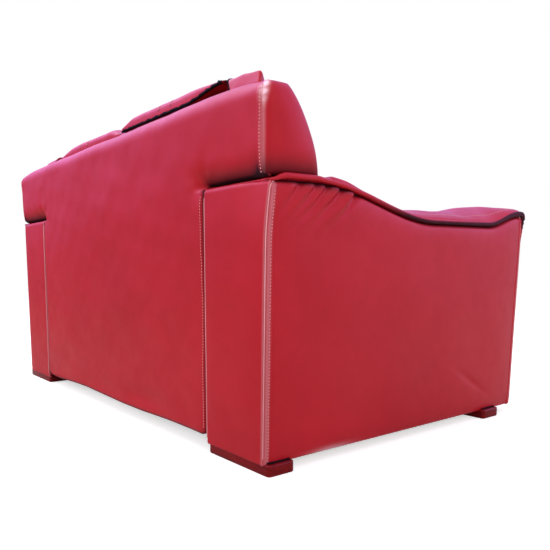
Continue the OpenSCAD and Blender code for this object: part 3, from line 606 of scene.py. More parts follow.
def lipPath(side, inside):  # the rolled edge along the S, thicker at its tip
    path, thick = [], []
    first = sofa["yRear"] + (0.002 if inside else 0.006 - sofa["cornerBack"][side])
    last = sofa["yFront"] - 0.001 - float(frontLean(sofa["tipH"]))
    for t in np.linspace(0, 1, 150):
        y = mix(first, last, t)
        begun = float(ease(t / 0.04))
        full = 0 if inside else float(ease(t / 0.05) - ramp(t, 0.12, 0.06))  # fuller at the rear corner
        z = float(armLine(y)) + mix(-0.001, 0.006, begun) + 0.003 * full
        x = sofa["seamIn"] - 0.004 if inside else sofa["seamOut"] + float(sideLean(z)) + 0.006
        path.append((x * side, y, z))
        grown = (weltLook["tip"] - weltLook["edge"]) * float(ramp(t, 0.9, 0.1))
        thick.append(mix(weltLook["start"], weltLook["edge"], begun) + grown + 0.0012 * full)
    x, y, z = path[-1]
    for a in np.linspace(0.2, math.pi / 2, 6):  # the tip turns down over the front corner and thins out
        path.append((x, y - 0.008 * math.sin(a), z - 0.012 * (1 - math.cos(a))))
        thick.append(weltLook["tip"])
    x, y, z = path[-1]
    for t in np.linspace(0.04, 1, 26):
        path.append((x, y + 0.006 * t, z - weltLook["tail"] * t))
        ruffle = weltLook["ruffle"] * (1 - t) * math.sin(34 * t)
        thick.append(mix(weltLook["tip"], weltLook["fold"], t ** 0.7) + ruffle)
    return path, thick


def foldPath(side, inside, rear):  # the thin fold up a corner in the pale painted-highlight leather, bending over into the S
    path = []
    turn = weltLook["turn"]
    top = float(armLine(sofa["yRear"] if rear else sofa["yFront"])) - turn
    for z in np.linspace(sofa["armZ"] + 0.010, top, 40):
        outX = sofa["seamOut"] + float(sideLean(z)) + armSide["plane"] - 0.001
        x = sofa["seamIn"] - 0.0045 if inside else outX
        y = sofa["yFront"] - 0.0082 - float(frontLean(z))
        if rear:
            y = sofa["yRear"] + (0.0078 if inside else 0.0060 - float(cornerTurn(side, z)))
        path.append((x * side, y, z))
    x, y, z = path[-1]
    way = -1 if rear else 1
    for a in np.linspace(0, math.pi / 2, 8)[1:]:
        path.append((x, y + way * turn * (1 - math.cos(a)), z + (turn + 0.003) * math.sin(a)))
    return path, [weltLook["fold"]] * len(path)


for side in (1, -1):
    buildArmSide(side)
    buildArmTop(side)
    buildArmEnd(side, "rear")
    buildArmEnd(side, "front")
    buildArmInner(side)
print("arms made")


# back: one leather cover in a T, rolled over the ridge

backCover = {"body": 0.574, "cell": 0.008, "edge": 0.005, "endEdge": 0.008, "wall": 0.026, "puff": 0.003,
             "footCorner": 0.026, "wingCorner": 0.008, "topCorner": 0.022, "underHigh": 0.062,
             "underDeep": 0.027, "lean": 0.005, "leanZ": 0.42, "leanLen": 0.26, "droop": 0.010,
             "droopLen": 0.11, "endBand": 0.009, "pleats": (0.771, 0.783), "endStitch": 0.0045,
             "sideStitch": 0.008, "stitchUp": 0.0006, "seeds": (61, 67, 71)}


def backLean(z):  # the cover leans out towards the top
    return backCover["lean"] * ramp(z, backCover["leanZ"], backCover["leanLen"])


def wingShare(x):  # 0 at the wing's root, 1 at its end
    return ramp(x, sofa["wingX"], sofa["wingOut"] - sofa["wingX"])


def wingLean(side, x, z):  # the wing spreads outwards, more towards its top
    low, high = sofa["wingLean"][side]
    rise = np.clip((z - sofa["wingZ"]) / (sofa["rollZ"] - sofa["wingZ"]), 0, 1)
    return wingShare(x) * mix(low, high, rise)


def underWing(z):  # how far the wing's lower edge has rolled under
    t = np.clip(1 - (z - sofa["wingZ"]) / backCover["underHigh"], 0, 1)
    return backCover["underDeep"] * (1 - np.sqrt(1 - t ** 2))


def lines(stops, cell):  # grid lines that pass through every stop
    made = [stops[0]]
    for a, b in zip(stops, stops[1:]):
        count = max(4, int(round(abs(b - a) / cell)))
        made += list(np.linspace(a, b, count + 1)[1:])
    return np.array(made)


def roundCorner(x, s, cx, cs, radius, wayX, wayS):  # pulls a square corner of the outline into an arc
    px = np.clip(wayX * (x - cx) + radius, 0, radius)
    ps = np.clip(wayS * (s - cs) + radius, 0, radius)
    scale = np.maximum(px, ps) / np.maximum(np.hypot(px, ps), 1e-9)
    inside = (px > 0) & (ps > 0)
    return np.where(inside, x + wayX * px * (scale - 1), x), np.where(inside, s + wayS * ps * (scale - 1), s)


def buildBackCover():
    body, out = backCover["body"], sofa["wingOut"]
    step = sofa["wingZ"] - sofa["shellZ"]
    wall = sofa["rollZ"] - sofa["shellZ"]
    band = out - backCover["endBand"]
    slackSeed, broadSeed, fineSeed = backCover["seeds"]
    xs = lines([out, band, body, -body, -band, -out], backCover["cell"])
    ss = lines([0, step, wall, wall + math.pi * sofa["rollR"]], backCover["cell"])
    x, s = np.meshgrid(xs, ss, indexing="ij")
    midX = (xs[:-1] + xs[1:]) / 2
    midS = (ss[:-1] + ss[1:]) / 2
    keep = (np.abs(midX)[:, None] < body) | (midS[None, :] > step)
    ax = np.abs(x)
    onWing = s > step - 1e-9
    toSide = np.where(ax > body, s - step, np.hypot(body - ax, s - step))
    toSide = np.where(s < step + 1e-9, body - ax, toSide)
    edge = np.clip(np.minimum(np.where(ax > body, np.abs(s - step), toSide), s), 0, None)
    under = underWing(s + sofa["shellZ"]) * onWing * ramp(ax - body, -0.045, 0.06)
    under = under * (1 - 0.7 * ramp(ax - out, -0.07, 0.07))
    toEnd = np.where(onWing, out - ax, 1.0)
    for way in (1, -1):
        x, s = roundCorner(x, s, way * body, 0, backCover["footCorner"], way, -1)
        x, s = roundCorner(x, s, way * out, step, backCover["wingCorner"], way, -1)
    s = s + 0.004 * bell(s, 0.03) * ripple(slackSeed, 0.42, x)  # slack lower edge
    turn = np.clip((s - wall) / sofa["rollR"], 0, math.pi)
    nY, nZ = np.cos(turn), np.sin(turn)
    baseY = np.where(s < wall, sofa["shellY"], sofa["rollY"] + sofa["rollR"] * nY)
    baseZ = np.where(s < wall, sofa["shellZ"] + s, sofa["rollZ"] + sofa["rollR"] * nZ)
    sink = rollIn(edge, backCover["edge"]) + rollIn(toEnd, backCover["endEdge"])
    droop = backCover["droop"] * ease(1 - (out - ax) / backCover["droopLen"])
    overTop = (rollIn(out - ax, backCover["topCorner"]) + droop) * nZ ** 2
    r = np.hypot(body - ax, s - step)
    ray = np.arctan2(s - step, ax - body)
    gather = bell(r, 0.075) * (1 - np.exp(-r / 0.014)) * np.cos(6.0 * ray + 0.8) * (ray > 0.2)
    dimple = bell(np.hypot((ax - body) / 1.2, s - step - 0.006), 0.036)
    pleat = sum(bell(ax - at, 0.0035) for at in backCover["pleats"]) * bell(s - step - 0.010, 0.032)
    seam = bell(out - ax - 0.012, 0.003) * (s > step + 0.004)
    hollow = bell(s - 0.040, 0.030) * bell(x + 0.24, 0.10) + 0.4 * bell(s - 0.03, 0.03) * bell(x - 0.05, 0.14)
    bowl = np.clip(flatSwell(x / out, (s - wall / 2) / wall, 4), 0, 1)
    pucker = bell(out - ax, 0.016) * ramp(s - wall, -0.05, 0.05) * np.sin(s * 380 + 40 * ax)
    lift = 0.0016 * ripple(broadSeed, 0.34, x, s) + 0.0008 * ripple(fineSeed, 0.11, x, s)
    lift = lift + backCover["puff"] * bowl + 0.0018 * gather + 0.0012 * pucker
    lift = lift - 0.007 * dimple - 0.003 * pleat - 0.0008 * seam - 0.008 * hollow
    lift = lift - sink - overTop - under
    leant = baseY + backLean(baseZ) * (0.5 + 0.5 * nY)
    for way in (1, -1):
        x = x + way * wingLean(way, way * x, baseZ) * (s > step - 1e-9)
    outer = xyz(x, leant + nY * lift, baseZ + nZ * lift)
    deep = np.minimum(lift - 0.004, -backCover["wall"])
    inner = xyz(x, baseY + nY * deep, baseZ + nZ * deep)
    # painted highlights along the wing ends, strongest over the roll at the top; painted shade under the
    # wings, along the edges and in the pleats
    paintedGlint = 0.9 * bell(out - ax, 0.008) * ramp(s - wall, -0.025, 0.05) * (0.8 + 0.4 * pucker)
    paintedGlint = paintedGlint + 0.18 * bell(out - ax, 0.005)
    paintedShade = 0.85 * bell(s - step, 0.026) * ramp(ax - body, -0.02, 0.03)
    paintedShade = paintedShade + 0.6 * bell(edge, 0.003) + 0.5 * pleat
    made = closedGrid("backCover", outer, inner, {"paintedShade": paintedShade, "paintedGlint": paintedGlint}, keep)
    for way in (1, -1):
        k = nearest(xs, way * (out - backCover["endStitch"]))
        j = np.nonzero(ss > step + 0.006)[0]
        sew(outer[k, j], backCover["stitchUp"] * xyz(0, nY[k, j], nZ[k, j]))
        k = nearest(xs, way * (body - backCover["sideStitch"]))
        j = np.nonzero((ss > 0.02) & (ss < step - 0.02))[0]
        sew(outer[k, j], (0, backCover["stitchUp"], 0))
    cover(made, "back_cover")


wingEnd = {"bulge": 0.028, "foot": 0.668, "top": 0.864, "lowDepth": 0.158, "deep": 0.014, "seamIn": 0.006,
           "puckerZ": 0.795, "across": 64, "up": 90, "slack": (0.0012, 0.10), "seed": {1: 73, -1: 79}}


def buildWingEnd(side):
    u, v = cells(wingEnd["across"], 0.9, wingEnd["up"], 0.9)
    z = span(wingEnd["foot"], wingEnd["top"], v)
    fine = np.linspace(sofa["wingZ"] - 0.05, sofa["ridgeH"], 300)
    arch = np.sqrt(np.clip(sofa["rollR"] ** 2 - np.clip(fine - sofa["rollZ"], 0, None) ** 2, 0, None))
    rise = np.clip((fine - sofa["wingZ"]) / (sofa["rollZ"] - sofa["wingZ"]), 0, None)
    low = mix(sofa["yRear"] - wingEnd["lowDepth"], sofa["rollY"] - sofa["rollR"], rise ** 1.7)
    edge = np.where(fine < sofa["rollZ"], low, np.maximum(sofa["rollY"] - arch, low))
    front = np.interp(z, fine[20:-20], np.convolve(edge, np.ones(41) / 41, "valid"))  # a smoothed edge
    rear = sofa["rollY"] + np.interp(z, fine, arch) - wingEnd["seamIn"] - 0.3 * underWing(z)
    rear = rear + backLean(z) * np.clip((0.885 - z) / 0.06, 0.5, 1)
    y = span(front, rear, u)
    topSeam = ramp(z, wingEnd["puckerZ"], 0.05)
    pucker = np.sin(z * 360 + 2) * bell(1 - u, 0.20) * topSeam
    full = wingEnd["bulge"] + slack(wingEnd, side, y, z) + 0.0020 * pucker
    x = sofa["wingOut"] + wingLean(side, sofa["wingOut"], z)
    outer = xyz(x - 0.002 + full * archOver(u, 2.6) * archOver(v, 2.9), y, z)
    inner = xyz(x - wingEnd["deep"], y, z)
    # painted highlight along the rear seam, strongest near the top; painted shade along the foot
    paintedGlint = (0.8 + 0.4 * pucker) * bell(rear - y - 0.001, mix(0.002, 0.0055, topSeam)) * topSeam
    paintedGlint = paintedGlint + 0.22 * bell(rear - y, 0.0025)
    paintedShade = 0.75 * bell(z - wingEnd["foot"], 0.030)
    made = closedGrid("wingEnd." + sideName[side], outer, inner, {"paintedGlint": paintedGlint, "paintedShade": paintedShade}, side=side)
    cover(made, "wing_end_panel_" + sideName[side])


wingFront = {"lowFull": 0.192, "lowEnd": 0.158, "topFull": 0.188, "topEnd": 0.090, "swell": 0.009,
             "shoulder": 0.165, "across": 60, "up": 60, "slack": (0.0015, 0.12), "seed": {1: 83, -1: 89}}


def wingDeep(x, t):  # depth of a wing ahead of its rear plane, t from its foot to its top
    end = mix(wingFront["lowEnd"], wingFront["topEnd"], t ** 2.1)
    return mix(mix(wingFront["lowFull"], wingFront["topFull"], t), end, wingShare(x))


def buildWingFront(side):
    u, v = cells(wingFront["across"], 0.6, wingFront["up"], 0.6)
    x = span(sofa["wingX"], sofa["wingOut"], u)
    level = sofa["wingX"] + wingFront["shoulder"]
    top = mix(sofa["ridgeH"], sofa["rollZ"], ramp(x, level, sofa["wingOut"] - level))
    z = span(sofa["wingZ"], top, v)
    swell = (wingFront["swell"] + slack(wingFront, side, x, z)) * flatSwell(u, v, 4)
    y = sofa["yRear"] - wingDeep(x, (v + 1) / 2) - swell
    x = x + wingLean(side, x, z)
    inner = xyz(x, np.maximum(y + 0.004, sofa["frameY"] - 0.0005), z)
    # painted shade along the top and bottom edges
    paintedShade = 0.5 * bell(1 - np.abs(v), 0.02)
    made = closedGrid("wingFront." + sideName[side], xyz(x, y, z), inner, {"paintedShade": paintedShade}, side=side)
    cover(made, "wing_pad_" + sideName[side])


shoulder = {"wide": 0.147, "edge": 0.048, "endEdge": 0.041, "frontEdge": 0.036, "endFront": 0.006,
            "crown": 0.005, "stations": 80, "around": 110, "endRound": 0.012, "innerRound": 0.003,
            "rear": 0.454, "lean": 0.016, "slant": 0.034, "skew": 0.75, "full": {1: 0.66, -1: 1.0},
            "seed": {1: 97, -1: 101}}
endSeams = {}  # the bound inner end of each shoulder


def buildShoulder(side):
    x0, x1 = sofa["wingX"], sofa["wingX"] + shoulder["wide"]
    rear, foot = shoulder["rear"], sofa["ridgeH"] + 0.0005
    v = np.linspace(1, -1, 34)
    loops = []
    for u in graded(shoulder["stations"], 0.85):
        t = (u + 1) / 2
        x = mix(x0, x1, t)
        front = sofa["yRear"] - float(wingDeep(x, 1))
        arch = shoulder["crown"] * (1 - t) * archOver(v, 3)
        rearEdge = mix(shoulder["edge"], shoulder["endEdge"], t)
        frontEdge = mix(shoulder["frontEdge"], shoulder["endFront"], float(ease(t * 1.1)))
        high = foot + shoulder["full"][side] * (arch + span(frontEdge, rearEdge, v))
        y = span(front, rear - shoulder["lean"], v)
        loop = softLoop([(rear, foot)] + list(zip(y, high)) + [(front, foot)], shoulder["around"], 9)
        shrink = float(rollIn(x - x0, shoulder["innerRound"]) + rollIn(x1 - x, shoulder["endRound"]))
        loop = drawIn(loop, np.array([(front + rear) / 2, foot + 0.018]), shrink, 0.02, 0.15)
        low = np.clip(1 - (loop[:, 1] - foot) / shoulder["edge"], 0, 1)
        across = x + shoulder["slant"] * low * (1 - t) ** 4
        across = across - shoulder["skew"] * (rear - loop[:, 0]) * float(ease(t)) ** 2
        loops.append(np.column_stack([across, loop]))
    loops = np.array(loops)
    wave = ripple(shoulder["seed"][side], 0.07, loops[..., 0], loops[..., 1])
    loops[..., 2] += 0.0014 * wave * ramp(loops[..., 2], sofa["ridgeH"] + 0.006, 0.02)
    # a painted highlight near the inner rear corner
    glint = bell(loops[..., 0] - x0 - 0.012, 0.016) * bell(loops[..., 1] - rear, 0.030) * (0.6 + 0.5 * wave)
    made = loft("shoulder." + sideName[side], loops, {"paintedGlint": 0.8 * np.clip(glint, 0, 1)}, side)
    cover(made, "shoulder_pad_" + sideName[side])
    ring = loops[4][loops[4][:, 2] > sofa["ridgeH"] + 0.004]
    ring = ring[np.argsort(-ring[:, 1])]
    endSeams[side] = run(ring + np.array([-0.0005, 0, 0.0005]), side)


buildBackCover()
for side in (1, -1):
    buildWingEnd(side)
    buildWingFront(side)
    buildShoulder(side)
print("back and wings made")


# headrests: a pillow with a nose roll round the hinge, a black lining under it and a wavy tape along the rear

headrest = {"edge": 0.023, "crown": 0.024, "thin": 0.007, "noseR": 0.022, "stations": 150, "around": 150,
            "endRound": 0.016, "seamDepth": 0.0045, "stitchOff": 0.006, "stitchUp": 0.0005,
            "taper": {1: 0.35, -1: 0.45}, "lift": {1: 0.002, -1: 0.020}, "open": {1: 0.0, -1: 7.0},
            "endDark": {1: 0.25, -1: 0.9}, "slack": (0.0012, 0.16), "seed": {1: 103, -1: 109}}


def buildHeadrest(side):
    name, seed = sideName[side], headrest["seed"][side]
    x0, x1 = sofa["padX0"], sofa["padX1"]
    midX, halfX = (x0 + x1) / 2, (x1 - x0) / 2
    front, rear, foot = sofa["padFront"], sofa["padRear"], sofa["padFoot"]
    seams = [midX + s * sofa["seamPair"] / 2 for s in (-1, 1)]
    beside = [(at + d - midX) / halfX for at in seams for d in (-0.003, 0, 0.003)]
    v = np.linspace(1, -1, 44)
    y = span(front, rear, v)
    rearwards = ramp(v, -0.9, 1.8)
    bend = np.radians(np.linspace(150, 338, 18))
    nose = list(zip(headrest["noseR"] * np.cos(bend), headrest["noseR"] * np.sin(bend)))
    loops, tape = [], []
    for u in np.sort(np.concatenate([graded(headrest["stations"], 0.5), beside])):
        x = midX + halfX * u
        outwards = float(ramp(u, 0.35, 0.65))
        sewn = sum(float(bell(x - at, 0.0045)) for at in seams)
        lift = headrest["lift"][side] * outwards
        crown = headrest["crown"] * archOver(v, 3.4) * (1 - abs(u) ** 8)
        flap = outwards * rearwards * (1 - headrest["thin"] / headrest["edge"])  # thin at the outer corner
        taper = headrest["taper"][side] * float(ramp(-u, 0.72, 0.28)) * rearwards
        high = foot + (headrest["edge"] + crown) * (1 - flap) * (1 - taper)
        high = high + lift * ease((v + 1) / 2) - headrest["seamDepth"] * sewn * (1 - v ** 6)
        t = np.linspace(0, 1, 12)
        under = list(zip(mix(0.030, rear, t), foot + lift * ramp(t, 0.15, 0.85)))
        loop = softLoop(list(zip(y, high)) + nose + under, headrest["around"], 5)
        shrink = float(rollIn(min(x - x0, x1 - x), headrest["endRound"]))
        midZ = foot + 0.010 + lift * ease(loop[:, 0] / rear)
        mid = np.column_stack([np.clip(loop[:, 0], 0.0, rear - 0.02), midZ])
        loop = drawIn(loop, mid, shrink, 0.021, 0.05)
        loops.append(np.column_stack([np.full(len(loop), x), loop]))
        tape.append((x, rear - 0.006 - shrink, foot + lift + 0.002))
    loops = np.array(loops)
    upper = loops[..., 2] > foot + 0.012
    wave = slack(headrest, side, loops[..., 0], loops[..., 1])
    loops[..., 2] += wave * ramp(loops[..., 2], foot + 0.010, 0.015)
    # painted shade in the two seams, inside the pad underneath, and at the outer end
    inside = ~upper & (loops[..., 1] > 0.026) & (loops[..., 1] < rear - 0.020)
    paintedShade = 0.6 * sum(bell(loops[..., 0] - at, 0.0035) for at in seams) * upper + 0.12 * inside
    paintedShade = paintedShade + headrest["endDark"][side] * bell(x1 - loops[..., 0], 0.009)
    turn = math.radians(headrest["open"][side])

    def lifted(p):  # turned open round the hinge
        y = p[..., 1] * math.cos(turn) - p[..., 2] * math.sin(turn)
        z = p[..., 1] * math.sin(turn) + p[..., 2] * math.cos(turn)
        return xyz(p[..., 0], y + sofa["hingeY"], z + sofa["hingeZ"])

    made = loft("headrest." + name, lifted(loops), {"paintedShade": paintedShade}, side, False)
    cover(made, "headrest_pad_" + name, "headrest_" + name)
    for at in seams:
        for off in (-headrest["stitchOff"], headrest["stitchOff"]):
            ring = loops[nearest(loops[:, 0, 0], at + off)]
            ring = ring[ring[:, 2] > foot + 0.020]
            ring = ring[np.argsort(-ring[:, 1])] + np.array([0, 0, headrest["stitchUp"]])
            sew(lifted(ring), (0, 0, 0), side, "headrest_" + name)
    tape = np.array(tape)[4:-4]
    wave = 0.0034 * ripple(seed + 1, 0.040, tape[:, 0]) + 0.0016 * ripple(seed + 2, 0.015, tape[:, 0])
    outline = []
    for (x, y, z), w in zip(tape, wave):
        outline.append([(x, y - 0.0020, z + 0.0030), (x, y + 0.0020, z - 0.0045),
                        (x, y + 0.0065, z - 0.0020 + 0.5 * w), (x, y + 0.0055, z + 0.0045 + w)])
    made = loft("headrestTape." + name, lifted(np.array(outline)), None, side)
    settle(made, "headrest_" + name, blackLining)


for side in (1, -1):
    buildHeadrest(side)
print("headrests made")


# loose cushions, blown up as cloth

cushions = {"voxel": 0.0085, "weld": 0.0002, "frames": 20, "cap": 0.024, "pullIn": 0.15, "soft": 0.012,
            "firstX": 0.0015, "lastX": 0.5735, "sewn": 0.0065, "seed": {"seat": 113, "back": 127},
            "shrink": {"seat": (0.002, 0.002, 0.003), "back": (0.002, 0.010, 0.002)},
            "cloth": {"quality": 5, "mass": 0.3, "tension_stiffness": 12, "compression_stiffness": 12,
                      "shear_stiffness": 5, "bending_stiffness": 0.6, "use_pressure": True,
                      "uniform_pressure_force": 4.0}}


def corners(piece):
    return np.array([v.co for v in piece.data.vertices])


def flatten(piece):  # applies every modifier
    deps = bpy.context.evaluated_depsgraph_get()
    shown = piece.evaluated_get(deps)
    mesh = bpy.data.meshes.new_from_object(shown, preserve_all_data_layers=True, depsgraph=deps)
    piece.modifiers.clear()
    piece.data = mesh


def cushionCore(kind, node):  # a slightly smaller remeshed copy of the left-hand solid
    source = nodes[node].data.copy()
    made = bpy.data.objects.new(kind + "Cushion.left", source)
    scene.collection.objects.link(made)
    low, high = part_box(node)
    mid, half = (low + high) / 2, (high - low) / 2
    for vert in source.vertices:
        for k in range(3):
            d = vert.co[k] - mid[k]
            vert.co[k] = mid[k] + d * (1 - cushions["shrink"][kind][k] / half[k])
    weld = made.modifiers.new("weld", "WELD")
    weld.merge_threshold = cushions["weld"]
    remesh = made.modifiers.new("remesh", "REMESH")
    remesh.mode = "VOXEL"
    remesh.voxel_size = cushions["voxel"]
    remesh.use_smooth_shade = True
    flatten(made)
    return made


def inflate(piece):
    start = corners(piece)
    cloth = piece.modifiers.new("air", "CLOTH")
    for key, value in cushions["cloth"].items():
        setattr(cloth.settings, key, value)
    cloth.settings.effector_weights.gravity = 0
    cloth.collision_settings.use_collision = False
    cloth.point_cache.frame_start = 1
    cloth.point_cache.frame_end = cushions["frames"]
    for k in range(1, cushions["frames"] + 1):
        scene.frame_set(k)
    flatten(piece)
    scene.frame_set(1)
    moved = corners(piece) - start
    far = np.linalg.norm(moved, axis=1, keepdims=True)
    moved *= np.minimum(1, cushions["cap"] / np.maximum(far, 1e-9))
    mid = (start.min(axis=0) + start.max(axis=0)) / 2
    inwards = moved * (start - mid) < 0  # where the filling holds the edges out
    moved = np.where(inwards, cushions["pullIn"] * moved, moved)
    piece.data.vertices.foreach_set("co", (start + moved).ravel())
    piece.data.update()


def subdivide(piece):
    smooth = piece.modifiers.new("smooth", "SUBSURF")
    smooth.levels = smooth.render_levels = 1
    flatten(piece)


def limit(co, low, high):  # soft stop against the neighbours
    soft = cushions["soft"]
    for k in range(3):
        over = co[:, k] - (high[k] - soft)
        co[:, k] = np.where(over > 0, high[k] - soft + soft * np.tanh(over / soft), co[:, k])
        under = (low[k] + soft) - co[:, k]
        co[:, k] = np.where(under > 0, low[k] + soft - soft * np.tanh(under / soft), co[:, k])


def buildCushion(kind):
    node, seed = kind + "_cushion_", cushions["seed"][kind]
    piece = cushionCore(kind, node + "left")
    inflate(piece)
    subdivide(piece)
    low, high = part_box(node + "left")
    first, last = Vector((cushions["firstX"], low.y, low.z)), Vector((cushions["lastX"], high.y, high.z))
    co = corners(piece)
    x, y, z = co.T
    if kind == "seat":
        first.y -= 0.006
        last += Vector((0, 0.003, 0.016))
        sewn = 0 * x
        rumple = 0.0022 * ripple(seed, 0.19, x, y) + 0.001 * ripple(seed + 1, 0.07, x, y)
        z += rumple * ramp(z, low.z + 0.06, 0.06)
    else:
        first.y -= 0.012
        isFront = ease((mix(low.y, high.y, 0.62) - y) / 0.05)
        midX = (low.x + high.x) / 2
        sewn = sum(bell(x - midX - s * sofa["seamPair"] / 2, 0.006) for s in (-1, 1))
        sewn = sewn * isFront * ramp(z, 0.47, 0.03)
        rumple = 0.0026 * ripple(seed, 0.17, x, z) + 0.0011 * ripple(seed + 1, 0.06, x, z)
        y += cushions["sewn"] * sewn - rumple * isFront
    x[:] = mix(first.x, last.x, (x - x.min()) / (x.max() - x.min()))  # as wide as the seat
    limit(co, first, last)
    # painted shade in the sewn grooves down the front of the back cushions
    store(piece.data, "paintedShade", 0.55 * sewn)
    for side in (1, -1):
        made = piece
        if side < 0:
            made = bpy.data.objects.new(kind + "Cushion.right", piece.data.copy())
            scene.collection.objects.link(made)
            made.data.flip_normals()
        made.data.vertices.foreach_set("co", (co * np.array([side, 1, 1])).ravel())
        made.data.shade_smooth()
        made.data.update()
        cover(made, node + sideName[side])


buildCushion("seat")
buildCushion("back")
print("cushions made")


# front border under the seat

frontBorder = {"bulge": 0.012, "foam": 0.014, "wider": 0.004, "higher": 0.0075, "along": 160, "up": 46,
               "stitchRows": (40, 5), "stitchUp": 0.0005, "slack": (0.0014, 0.2), "seed": {1: 131}}


def buildFrontBorder():
    low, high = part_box("front_border")
    u, v = cells(frontBorder["along"], 0.3, frontBorder["up"], 0.6)
    x = span(low.x - frontBorder["wider"], high.x + frontBorder["wider"], u)
    z = span(low.z, high.z + frontBorder["higher"], v)
    y = high.y - frontBorder["foam"] - frontBorder["bulge"] * flatSwell(u, v, 12, 6)
    y = y - slack(frontBorder, 1, x, z) * flatSwell(u, v, 6)
    outer = xyz(x, y, z)
    # painted shade along the top and bottom edges
    paintedShade = 0.5 * bell(1 - np.abs(v), 0.04)
    cover(closedGrid("frontBorder", outer, xyz(x, high.y, z), {"paintedShade": paintedShade}), "front_border")
    for row in frontBorder["stitchRows"]:
        sew(outer[3:-3, row], (0, -frontBorder["stitchUp"], 0))


buildFrontBorder()


# lacquered block feet with softened edges

footShape = {"corner": 0.010, "soft": 0.0035, "around": 14, "proud": 0.008, "inward": 0.004,
             "rearOver": 0.004}


def buildFoot(place):
    node = "foot_" + place.replace(".", "_")
    low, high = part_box(node)
    out = math.copysign(footShape["proud"], low.x + high.x)
    inn = math.copysign(footShape["inward"], -out)
    low = low + Vector((min(out, inn), 0, 0))
    high = high + Vector((max(out, inn), footShape["rearOver"], 0))
    r, soft = footShape["corner"], footShape["soft"]
    turns = ((high.x - r, high.y - r, 0), (low.x + r, high.y - r, 90),
             (low.x + r, low.y + r, 180), (high.x - r, low.y + r, 270))
    rises = list(soft * (1 - np.cos(np.linspace(0, math.pi / 2, 5))))
    loops = []
    for z in [low.z + d for d in rises] + [high.z - d for d in rises[::-1]]:
        reach = r - float(rollIn(min(z - low.z, high.z - z), soft))
        ring = []
        for cx, cy, first in turns:
            for a in np.radians(np.linspace(first, first + 90, footShape["around"])):
                ring.append((cx + reach * math.cos(a), cy + reach * math.sin(a), z))
        loops.append(ring)
    made = loft("foot." + place, np.array(loops))
    made.data.set_sharp_from_angle(angle=math.radians(50))
    settle(made, "sofa", footLacquer, [node])


for place in ("rear.left", "rear.right", "front.left", "front.right"):
    buildFoot(place)
print("feet made")


# piping and stitching, by geometry nodes along paths

def newTree(name, **wanted):  # a geometry tree with named inputs
    tree = bpy.data.node_groups.new(name, "GeometryNodeTree")
    for way in ("INPUT", "OUTPUT"):
        tree.interface.new_socket("Geometry", in_out=way, socket_type="NodeSocketGeometry")
    for label, kind in wanted.items():
        tree.interface.new_socket(label, in_out="INPUT", socket_type="NodeSocket" + kind)
    return tree, tree.nodes.new("NodeGroupInput").outputs


def geoNode(tree, kind, settings=None, inputs=None):
    made = tree.nodes.new(kind)
    for key, value in (settings or {}).items():
        setattr(made, key, value)
    for key, value in (inputs or {}).items():
        if isinstance(value, bpy.types.NodeSocket):
            tree.links.new(value, made.inputs[key])
        else:
            made.inputs[key].default_value = value
    return made.outputs


def geoRamp(tree, value, low, high, first=0.0, last=1.0):
    ends = {"Value": value, "From Min": low, "From Max": high, "To Min": first, "To Max": last}
    return geoNode(tree, "ShaderNodeMapRange", None, ends)["Result"]


def geoMaths(tree, operation, a, b, clamp=False):
    settings = {"operation": operation, "use_clamp": clamp}
    return geoNode(tree, "ShaderNodeMath", settings, {0: a, 1: b})["Value"]


def geoPaintedShade(tree, geometry, value):  # stores the painted shade on the points
    return geoNode(tree, "GeometryNodeStoreNamedAttribute", {"data_type": "FLOAT", "domain": "POINT"},
                   {"Geometry": geometry, "Name": "paintedShade", "Value": value})["Geometry"]


def geoEnd(tree, geometry, finish):
    whole = geoNode(tree, "GeometryNodeRealizeInstances", None, {"Geometry": geometry})
    done = geoNode(tree, "GeometryNodeSetMaterial", None, {"Geometry": whole["Geometry"], "Material": finish})
    tree.links.new(done["Geometry"], tree.nodes.new("NodeGroupOutput").inputs["Geometry"])
    return tree


def pipingTree():  # a round tube whose thickness follows the path's own radius, with painted shade that grows along it and stops before the tip
    tree, given = newTree("piping", Sides="Int", Dark="Float", Finish="Material")
    along = geoNode(tree, "GeometryNodeSplineParameter")["Factor"]
    # painted shade along the path: none at the start, the underside from about a quarter, all round further
    # on
    shade = geoMaths(tree, "ADD", geoRamp(tree, along, 0.26, 0.42), geoRamp(tree, along, 0.62, 0.84))
    shade = geoMaths(tree, "MULTIPLY", shade, geoRamp(tree, along, 0.945, 0.975, 1.0, 0.0))  # not at the tip
    marked = geoPaintedShade(tree, given["Geometry"], shade)
    ring = geoNode(tree, "GeometryNodeCurvePrimitiveCircle", None,
                   {"Resolution": given["Sides"], "Radius": 1.0})
    thick = geoNode(tree, "GeometryNodeInputRadius")
    tube = geoNode(tree, "GeometryNodeCurveToMesh", None, {"Curve": marked, "Profile Curve": ring["Curve"],
                                                           "Scale": thick["Radius"], "Fill Caps": True})
    facing = geoNode(tree, "GeometryNodeInputNormal")["Normal"]
    upwards = geoNode(tree, "ShaderNodeSeparateXYZ", None, {"Vector": facing})["Z"]
    under = geoRamp(tree, upwards, 0.75, 0.10, -1.0, 0.0)  # painted shade: only the underside darkens
    stored = geoNode(tree, "GeometryNodeInputNamedAttribute", {"data_type": "FLOAT"}, {"Name": "paintedShade"})
    dark = geoMaths(tree, "ADD", stored["Attribute"], under, True)
    dark = geoMaths(tree, "MULTIPLY", dark, given["Dark"])
    return geoEnd(tree, geoPaintedShade(tree, tube["Mesh"], dark), given["Finish"])


